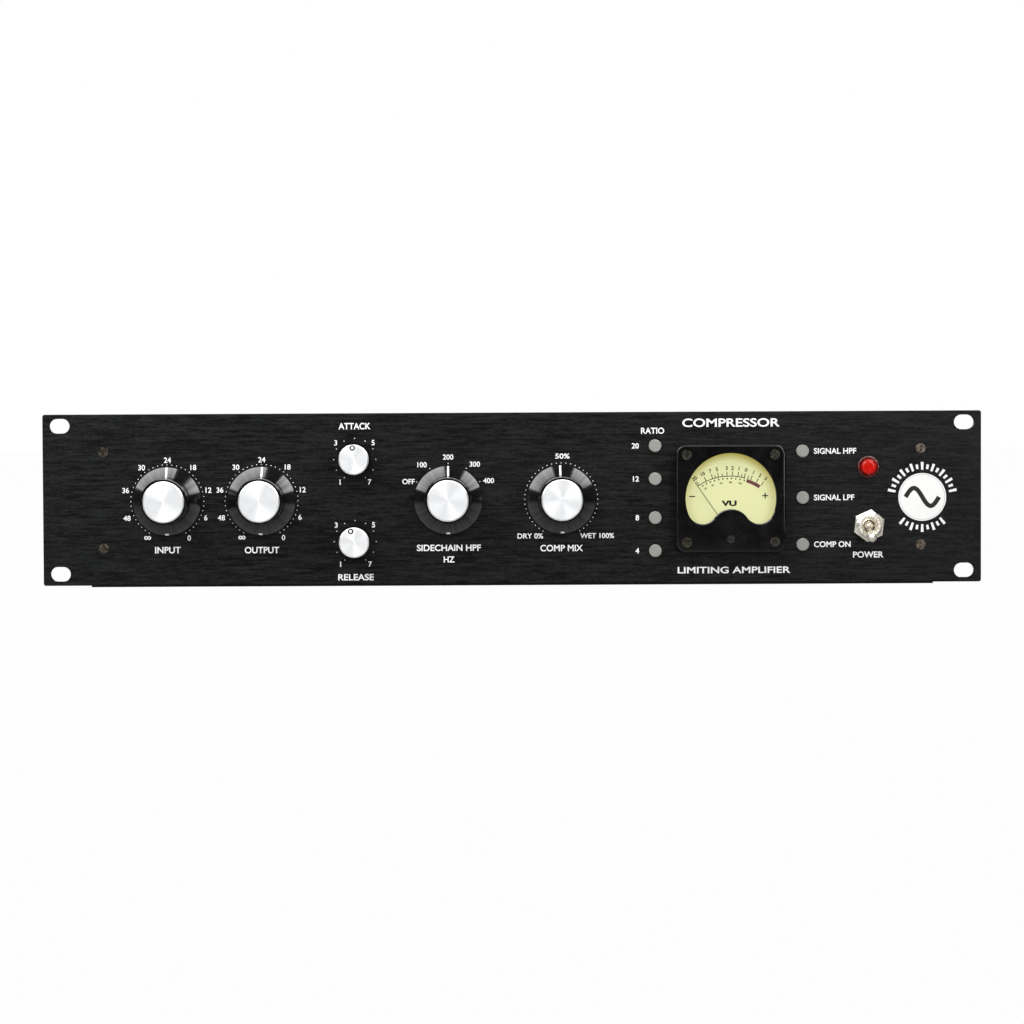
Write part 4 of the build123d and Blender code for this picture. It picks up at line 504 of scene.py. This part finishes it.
def grey_ink():
    """Pale grey print on the emblem."""
    paint = Paint("grey_ink", (0.55, 0.55, 0.54), rough=0.6)
    grain = paint.noise(1500, detail=3, rough=0.6)
    paint.tint(grain, (0.48, 0.48, 0.47), (0.60, 0.60, 0.59))
    return paint.material


def black_ink():
    """Black print on the dial and the emblem."""
    paint = Paint("black_ink", (0.012, 0.012, 0.010), rough=0.6)
    paint.shader.inputs["Specular IOR Level"].default_value = 0.25
    grain = paint.noise(1500, detail=3, rough=0.6)
    paint.tint(grain, (0.008, 0.008, 0.007), (0.020, 0.020, 0.015))
    return paint.material


def red_ink():
    """The dark red band of the dial."""
    paint = Paint("red_ink", (0.16, 0.035, 0.035), rough=0.6)
    grain = paint.noise(1500, detail=3, rough=0.6)
    paint.tint(grain, (0.14, 0.03, 0.03), (0.19, 0.045, 0.045))
    return paint.material


def moulded(name, colour, rough=0.45, grain_scale=1400):
    """A plain moulded plastic with fine grain."""
    paint = Paint(name, colour, rough=rough)
    grain = paint.noise(grain_scale, detail=3, rough=0.6)
    lighter = tuple(min(1.0, c * 1.3 + 0.004) for c in colour)
    paint.tint(grain, colour, lighter)
    paint.polish(grain, rough - 0.08, rough + 0.1)
    paint.bump(grain, strength=0.12, distance=0.06 * MM)
    return paint.material


def solder_mask():
    """Green circuit board with paler tracks."""
    paint = Paint("solder_mask", (0.02, 0.12, 0.05), rough=0.3)
    tracks = paint.node("TexBrick")
    tracks.inputs["Scale"].default_value = 140
    tracks.inputs["Mortar Size"].default_value = 0.05
    tracks.inputs["Color1"].default_value = (0.012, 0.085, 0.035, 1)
    tracks.inputs["Color2"].default_value = (0.018, 0.11, 0.045, 1)
    tracks.inputs["Mortar"].default_value = (0.05, 0.20, 0.08, 1)
    paint.link(paint.place(), tracks.inputs["Vector"])
    paint.set("Base Color", tracks.outputs["Color"])
    grain = paint.noise(600, detail=2, rough=0.5)
    paint.polish(grain, 0.22, 0.38)
    return paint.material


def wrap_film():
    """Polyester film wound round the mains transformer."""
    paint = Paint("wrap_film", (0.03, 0.03, 0.035), rough=0.25, Coat_Weight=0.4)
    turns = paint.noise(1.0, detail=3, rough=0.6, stretch=(240, 240, 60))
    paint.tint(turns, (0.02, 0.02, 0.025), (0.06, 0.06, 0.07))
    paint.bump(turns, strength=0.3, distance=0.3 * MM)
    return paint.material


def make_materials():
    """Every material, by the name that the rest of the script uses."""
    return {
        "panel": brushed_black(),
        "powder": powder_black(),
        "knob": knob_plastic(),
        "cap": turned_aluminium(),
        "nickel": bright_nickel(),
        "screw": worn_screw(),
        "oxide": black_oxide(),
        "zinc": zinc_plate(),
        "button": button_plastic(),
        "moulding": meter_moulding(),
        "adjuster": moulded("adjuster_plastic", (0.016, 0.016, 0.018), 0.16),
        "window": clear_window(),
        "dial": lit_dial(),
        "pilot": lit_red(),
        "pilot_rim": dark_red(),
        "white_ink": white_ink(),
        "grey_ink": grey_ink(),
        "black_ink": black_ink(),
        "red_ink": red_ink(),
        "connector": moulded("connector_plastic", (0.030, 0.030, 0.031), 0.38),
        "component": moulded("component_plastic", (0.03, 0.03, 0.033), 0.5),
        "lead": moulded("lead_plastic", (0.35, 0.02, 0.015), 0.4, 2200),
        "board": solder_mask(),
        "film": wrap_film(),
    }


def paint_nodes(paints):
    """Give each CAD node its material."""
    chosen = {
        "front_panel": "panel",
        "case_tray": "powder",
        "rear_panel": "powder",
        "top_cover": "powder",
        "panel_screws": "screw",
        "case_screws": "oxide",
        "meter_screws": "oxide",
        "zero_adjuster": "adjuster",
        "meter_bezel": "moulding",
        "meter_barrel": "moulding",
        "meter_lens": "window",
        "meter_dial": "dial",
        "meter_magnet": "zinc",
        "meter_needle": "black_ink",
        "pilot_holder": "pilot_rim",
        "pilot_lens": "pilot",
        "toggle_body": "nickel",
        "toggle_nut": "nickel",
        "toggle_lever": "nickel",
        "main_board": "board",
        "board_components": "component",
        "button_switches": "component",
        "board_standoffs": "zinc",
        "transformer_clamp": "zinc",
        "potentiometers": "zinc",
        "rotary_switch": "zinc",
        "control_nuts": "zinc",
        "audio_transformers": "zinc",
        "power_transformer": "film",
        "internal_wiring": "lead",
    }
    for name, node in nodes.items():
        if name.endswith("_knob"):
            paint = "knob"
        elif name.endswith("_knob_cap"):
            paint = "cap"
        elif name.endswith("_shaft"):
            paint = "zinc"
        elif name.endswith("_button"):
            paint = "button"
        else:
            paint = chosen.get(name, "connector")
        node.data.materials.clear()
        node.data.materials.append(paints[paint])


# ---------------------------------------------------------------- printed marks
def add_piece(name, mesh, material, body):
    """Put a finished mesh in the scene as a piece that rides on a body."""
    piece = bpy.data.objects.new(name, mesh)
    bpy.context.scene.collection.objects.link(piece)
    mesh.materials.clear()
    mesh.materials.append(material)
    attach(piece, body)


def thin_mesh(name, points, faces, flat):
    """A closed sheet as thick as the ink through these faces, with its outside to the front. Where they
    are flat, the faces of each shape are made to agree first."""
    mesh = bpy.data.meshes.new(name)
    mesh.from_pydata([tuple(p) for p in points], [], faces)
    shape = bmesh.new()
    shape.from_mesh(mesh)
    if flat:
        bmesh.ops.recalc_face_normals(shape, faces=shape.faces)
    for face in shape.faces:
        if face.normal.y > 0:
            face.normal_flip()
    bmesh.ops.solidify(shape, geom=shape.faces[:], thickness=INK_THICK)
    shape.to_mesh(mesh)
    shape.free()
    return mesh


def text_shape(words, offset):
    """The filled outline of a line of text, one unit of size high, as points and faces."""
    curve = bpy.data.curves.new("words", "FONT")
    curve.body = words
    curve.offset = offset
    curve.resolution_u = 6
    carrier = bpy.data.objects.new("words", curve)
    bpy.context.scene.collection.objects.link(carrier)
    bpy.context.view_layer.update()
    shape = bpy.data.meshes.new_from_object(carrier.evaluated_get(bpy.context.evaluated_depsgraph_get()))
    points = [vertex.co.copy() for vertex in shape.vertices]
    faces = [tuple(face.vertices) for face in shape.polygons]
    bpy.data.objects.remove(carrier)
    bpy.data.curves.remove(curve)
    bpy.data.meshes.remove(shape)
    return points, faces


class Print:
    """Flat printed marks gathered into one mesh on a plane that faces the front."""

    def __init__(self, y):
        """Start with nothing printed at this depth."""
        self.y = y
        self.points = []
        self.faces = []

    def add(self, points, faces):
        """Add faces through points given as (x, z)."""
        start = len(self.points)
        self.points += [Vector((x, self.y, z)) for x, z in points]
        self.faces += [tuple(start + i for i in face) for face in faces]

    def text(self, words, x, z, high, wide=None, align="centre", lean=0.0, bold=LEGEND_BOLD):
        """Text with its middle or one end at (x, z), capitals of this height, squeezed to a width if one
        is given, and turned clockwise by lean radians."""
        points, faces = text_shape(words, bold)
        low_x, high_x = min(p.x for p in points), max(p.x for p in points)
        low_y, high_y = min(p.y for p in points), max(p.y for p in points)
        grow = high / (high_y - low_y)
        across = wide / (high_x - low_x) if wide else grow
        middle = {"centre": (low_x + high_x) / 2, "left": low_x, "right": high_x}[align]
        c, s = math.cos(lean), math.sin(lean)
        placed = []
        for p in points:
            u = (p.x - middle) * across
            v = (p.y - (low_y + high_y) / 2) * grow
            placed.append((x + u * c + v * s, z - u * s + v * c))
        self.add(placed, faces)

    def disc(self, x, z, radius, steps=20):
        """A filled circle."""
        ring = [
            (x + radius * math.cos(2 * math.pi * i / steps), z + radius * math.sin(2 * math.pi * i / steps))
            for i in range(steps)
        ]
        self.add(ring, [tuple(range(steps))])

    def arc(self, x, z, inner, outer, start, end, steps=24):
        """A band between two radii, its angles in degrees clockwise from the top."""
        ring = []
        for i in range(steps + 1):
            a = math.radians(start + (end - start) * i / steps)
            ring.append((x + inner * math.sin(a), z + inner * math.cos(a)))
            ring.append((x + outer * math.sin(a), z + outer * math.cos(a)))
        self.add(ring, [(2 * i, 2 * i + 1, 2 * i + 3, 2 * i + 2) for i in range(steps)])

    def bar(self, x, z, wide, high):
        """An upright rectangle."""
        w, h = wide / 2, high / 2
        self.add([(x - w, z - h), (x + w, z - h), (x + w, z + h), (x - w, z + h)], [(0, 1, 2, 3)])

    def finish(self, name, material, body):
        """Make the marks into one piece."""
        add_piece(name, thin_mesh(name, self.points, self.faces, flat=True), material, body)


def polar(x, z, radius, degrees):
    """A point at an angle clockwise from the top."""
    a = math.radians(degrees)
    return x + radius * math.sin(a), z + radius * math.cos(a)


DOT = 0.235 * MM
FULL_HALF = 150
FILTER_HALF = 60
LARGE_RING = 18.8 * MM
SMALL_RING = 10.84 * MM

# Each number round a knob with its place in mm from the shaft. An empty word is the sign for no limit.
GAIN_NUMBERS = (
    ("", -10.3, -18.8), ("48", -20.8, -8.6), ("36", -21.4, 5.7), ("30", -13.1, 17.4), ("24", 0.2, 21.2),
    ("18", 13.5, 17.4), ("12", 21.2, 5.7), ("6", 19.7, -8.5), ("0", 11.1, -18.9),
)
FILTER_NUMBERS = (
    ("OFF", -20.4, 9.6), ("100", -13.4, 18.2), ("200", 0.0, 22.1), ("300", 13.7, 18.4), ("400", 20.8, 9.9),
)
TIME_NUMBERS = (("1", -7.6, -11.6), ("3", -9.7, 8.6), ("5", 9.5, 8.6), ("7", 7.6, -11.6))


# Each line of words with the node it belongs to, its place in mm from that node's middle, width and height.
LEGENDS = (
    ("INPUT", "input_shaft", 0.1, -25.1, 13.2, 3.35),
    ("OUTPUT", "output_shaft", 0.0, -25.3, 17.7, 3.35),
    ("ATTACK", "attack_shaft", 0.0, 17.1, 16.4, 3.35),
    ("RELEASE", "release_shaft", 0.3, -18.3, 18.3, 3.35),
    ("SIDECHAIN HPF", "sidechain_shaft", 0.2, -24.6, 32.9, 3.3),
    ("HZ", "sidechain_shaft", 0.3, -30.6, 5.6, 3.2),
    ("COMP MIX", "mix_shaft", 0.1, -25.1, 21.9, 3.35),
    ("DRY 0%", "mix_shaft", -16.0, -18.8, 13.2, 2.7),
    ("WET 100%", "mix_shaft", 18.4, -18.8, 17.4, 2.7),
    ("50%", "mix_shaft", 0.7, 22.2, 7.4, 2.7),
    ("RATIO", "ratio_20_button", -1.2, 7.7, 11.9, 3.2),
    ("POWER", "toggle_nut", -0.3, -14.9, 15.6, 3.2),
    ("COMPRESSOR", "meter_bezel", 0.7, 38.8, 50.0, 4.4),
    ("LIMITING AMPLIFIER", "meter_bezel", 2.1, -37.0, 58.0, 3.4),
)
RATIO_GAP = 4.0 * MM
FILTER_GAP = 1.6 * MM


def print_dots(ink, name, radius, count, half):
    """Evenly spaced dots round a knob, out to an angle on each side of the top."""
    spot = centre(name + "_shaft")
    for i in range(count):
        ink.disc(*polar(spot.x, spot.z, radius, -half + 2 * half * i / (count - 1)), DOT)


def print_numbers(ink, name, numbers, high):
    """The numbers round a knob."""
    spot = centre(name + "_shaft")
    for word, x, z in numbers:
        x, z = spot.x + x * MM, spot.z + z * MM
        if word:
            ink.text(word, x, z, high, bold=NUMBER_BOLD)
        else:
            for side in (-1, 1):
                ink.arc(x + side * 0.82 * MM, z, 0.42 * MM, 0.98 * MM, 0, 360, 20)


def print_scales(ink):
    """The dots and numbers round the knobs."""
    for name in ("input", "output", "mix"):
        print_dots(ink, name, LARGE_RING, 41, FULL_HALF)
    print_dots(ink, "sidechain", LARGE_RING, 5, FILTER_HALF)
    for name in SMALL:
        print_dots(ink, name, SMALL_RING, 11, FULL_HALF)
    for name in ("input", "output"):
        print_numbers(ink, name, GAIN_NUMBERS, 2.75 * MM)
    print_numbers(ink, "sidechain", FILTER_NUMBERS, 2.7 * MM)
    for name in SMALL:
        print_numbers(ink, name, TIME_NUMBERS, 2.75 * MM)


def print_legends(ink):
    """The words beside the controls."""
    for words, node, x, z, wide, high in LEGENDS:
        spot = centre(node)
        ink.text(words, spot.x + x * MM, spot.z + z * MM, high * MM, wide * MM)
    for name, words in zip(RATIO_BUTTONS, ("20", "12", "8", "4")):
        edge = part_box(name)[0].x - RATIO_GAP
        ink.text(words, edge, centre(name).z, 2.8 * MM, align="right")
    for name, words in zip(FILTER_BUTTONS, ("SIGNAL HPF", "SIGNAL LPF", "COMP ON")):
        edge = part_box(name)[1].x + FILTER_GAP
        ink.text(words, edge, centre(name).z, 3.0 * MM, align="left")


def print_emblem(paints):
    """A plain emblem: a white disc with a sine wave, inside two arcs of short bars."""
    x, z = EMBLEM.x, EMBLEM.z
    ink = Print(PRINT_Y)
    ink.disc(x, z, 12.3 * MM, 96)
    for start, end, count in ((-78, 78, 17), (140, 220, 9)):
        for i in range(count):
            angle = start + (end - start) * i / (count - 1)
            shorter = 1.1 if i % 2 else 0.0
            inner, outer = (14.0 + shorter / 2) * MM, (18.0 - shorter) * MM
            ink.arc(x, z, inner, outer, angle - 2.3, angle + 2.3, 3)
    ink.finish("emblem_print", paints["white_ink"], "chassis")
    rim = Print(PRINT_Y - INK_LIFT)
    rim.arc(x, z, 11.45 * MM, 11.75 * MM, 0, 360, 96)
    rim.finish("emblem_rim", paints["grey_ink"], "chassis")
    wave = Print(PRINT_Y - INK_LIFT)
    steps, half, rise, thick = 64, 8.6 * MM, 4.6 * MM, 1.15 * MM
    points = []
    for i in range(steps + 1):
        t = i / steps
        slope = rise * math.pi / half * math.cos(2 * math.pi * t)
        nx, nz = -slope / math.hypot(1, slope), 1 / math.hypot(1, slope)
        px, pz = x - half + 2 * half * t, z + rise * math.sin(2 * math.pi * t)
        points += [(px - nx * thick, pz - nz * thick), (px + nx * thick, pz + nz * thick)]
    wave.add(points, [(2 * i, 2 * i + 1, 2 * i + 3, 2 * i + 2) for i in range(steps)])
    wave.finish("emblem_wave", paints["black_ink"], "chassis")


# ---------------------------------------------------------------- meter dial
# Each tick of the scale by its angle from the top, with its number if it has one.
METER_TICKS = (
    ("20", -33.1), ("10", -24.6), ("7", -17.6), ("", -14.6), ("5", -11.5), ("", -7.5), ("3", -2.7),
    ("2", 2.5), ("1", 8.3), ("", 11.8), ("0", 14.8), ("", 18.5), ("1", 21.7), ("2", 28.0), ("3", 33.8),
)
PERCENT_NUMBERS = (("20", -29), ("40", -20), ("60", -10), ("80", 1), ("100", 12))
PIVOT_DROP = 17.7 * MM
SCALE_RADIUS = 29.0 * MM
LONG_TICK, SHORT_TICK = 31.4 * MM, 30.6 * MM
TICK_HALF_ANGLE = math.degrees(0.2 / 30)
NUMBER_RADIUS = 33.2 * MM
PERCENT_DOT_RADIUS = 27.8 * MM
PERCENT_RADIUS = 25.8 * MM


def print_dial(paints):
    """The printed scale of the level meter."""
    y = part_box("meter_dial")[0].y - INK_LIFT
    x, z = METER.x, METER.z - PIVOT_DROP
    ink = Print(y)
    ink.arc(x, z, SCALE_RADIUS - 0.2 * MM, SCALE_RADIUS + 0.2 * MM, -34.0, 16.0, 40)
    for word, angle in METER_TICKS:
        end = LONG_TICK if word else SHORT_TICK
        ink.arc(x, z, SCALE_RADIUS, end, angle - TICK_HALF_ANGLE, angle + TICK_HALF_ANGLE, 1)
        if word:
            spot = polar(x, z, NUMBER_RADIUS, angle)
            ink.text(word, *spot, 1.95 * MM, lean=math.radians(angle), bold=0.03)
    for i in range(11):
        ink.disc(*polar(x, z, PERCENT_DOT_RADIUS, -30 + 4.55 * i), 0.42 * MM, 12)
    for word, angle in PERCENT_NUMBERS:
        spot = polar(x, z, PERCENT_RADIUS, angle)
        ink.text(word, *spot, 1.05 * MM, lean=math.radians(angle), bold=0.02)
    ink.bar(METER.x - 19.4 * MM, METER.z + 0.9 * MM, 3.0 * MM, 0.6 * MM)
    ink.bar(METER.x + 18.2 * MM, METER.z + 1.15 * MM, 3.0 * MM, 0.6 * MM)
    ink.bar(METER.x + 18.2 * MM, METER.z + 1.15 * MM, 0.6 * MM, 3.0 * MM)
    ink.text("VU", METER.x - 0.4 * MM, METER.z - 2.7 * MM, 2.9 * MM, 7.9 * MM, bold=0.055)
    ink.finish("dial_print", paints["black_ink"], "chassis")
    band = Print(y)
    band.arc(x, z, 27.1 * MM, 28.9 * MM, 17.9, 33.2, 16)
    band.finish("dial_red_band", paints["red_ink"], "chassis")


# ---------------------------------------------------------------- knob marks
def surface(node):
    """A search tree over a CAD node's mesh."""
    mesh = nodes[node].data
    return BVHTree.FromPolygons([v.co for v in mesh.vertices], [p.vertices for p in mesh.polygons])


def lay_strip(knob, spot, angle, half, radii, start_y):
    """Rows of two points across a radial strip, dropped onto the moulded knob from in front, with the
    strip's outward and sideways directions."""
    a = math.radians(angle)
    out = Vector((math.sin(a), 0, math.cos(a)))
    across = Vector((math.cos(a), 0, -math.sin(a)))
    rows = []
    for radius in radii:
        row = []
        for side in (-1, 1):
            p = Vector((spot.x, start_y, spot.z)) + out * radius + across * (side * half)
            hit = knob.ray_cast(p, Vector((0, 1, 0)))[0]
            row.append(Vector((p.x, hit.y - INK_LIFT, p.z)))
        rows.append(row)
    return rows, out, across


def add_strip(name, rows, material, body):
    """A thin strip of paint through rows of two points."""
    points = [p for row in rows for p in row]
    faces = [(2 * i, 2 * i + 2, 2 * i + 3, 2 * i + 1) for i in range(len(rows) - 1)]
    add_piece(name, thin_mesh(name, points, faces, flat=False), material, body)


def inward(outer, inner, count):
    """Evenly spaced radii from the rim towards the hub."""
    return [outer + (inner - outer) * i / count for i in range(count + 1)]


# The pointer runs up the skirt from the rim to the hub, then forward a little on the hub's side.
POINTER_HALF = 0.475 * MM
POINTER_RADII = inward(17.44 * MM, 12.5 * MM, 12)
HUB_RADIUS = 12.36 * MM
HUB_TAPER = 0.03 * MM
HUB_RISE = 1.0 * MM
PIP_HALF = 0.95 * MM
PIP_RADII = inward(17.42 * MM, 16.62 * MM, 4)


def add_pointer(name, paints):
    """The white line up the skirt and the foot of the hub, and the pip on the rim opposite."""
    body = name + "_control"
    spot = centre(name + "_shaft")
    knob = surface(name + "_knob")
    start_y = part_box(name + "_knob")[0].y - 5 * MM
    rows, out, across = lay_strip(knob, spot, POINTER[name], POINTER_HALF, POINTER_RADII, start_y)
    foot = rows[-1][0].y
    for i in range(2):
        middle = Vector((spot.x, foot - i * HUB_RISE, spot.z)) + out * (HUB_RADIUS - HUB_TAPER * i)
        rows.append([middle + across * (side * POINTER_HALF) for side in (-1, 1)])
    add_strip(name + "_pointer", rows, paints["white_ink"], body)
    rows = lay_strip(knob, spot, POINTER[name] + 180, PIP_HALF, PIP_RADII, start_y)[0]
    add_strip(name + "_pip", rows, paints["white_ink"], body)


INDEX_RADIUS = 6.07 * MM


def add_index_ring(name, paints):
    """The dark ring printed on a small knob's cap, which shows the metal in its middle."""
    spot = centre(name + "_shaft")
    x, z = polar(spot.x, spot.z, INDEX_RADIUS, POINTER[name])
    ring = Print(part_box(name + "_knob_cap")[0].y - INK_LIFT)
    ring.arc(x, z, 0.75 * MM, 1.45 * MM, 0, 360, 32)
    ring.finish(name + "_index_ring", paints["black_ink"], name + "_control")


# ---------------------------------------------------------------- build
make_camera()
make_world()
make_floor()
make_lights()
paints = make_materials()
paint_nodes(paints)
front_ink = Print(PRINT_Y)
print_scales(front_ink)
print_legends(front_ink)
front_ink.finish("front_legends", paints["white_ink"], "chassis")
print_emblem(paints)
print_dial(paints)
for knob_name in LARGE:
    add_pointer(knob_name, paints)
for knob_name in SMALL:
    add_index_ring(knob_name, paints)
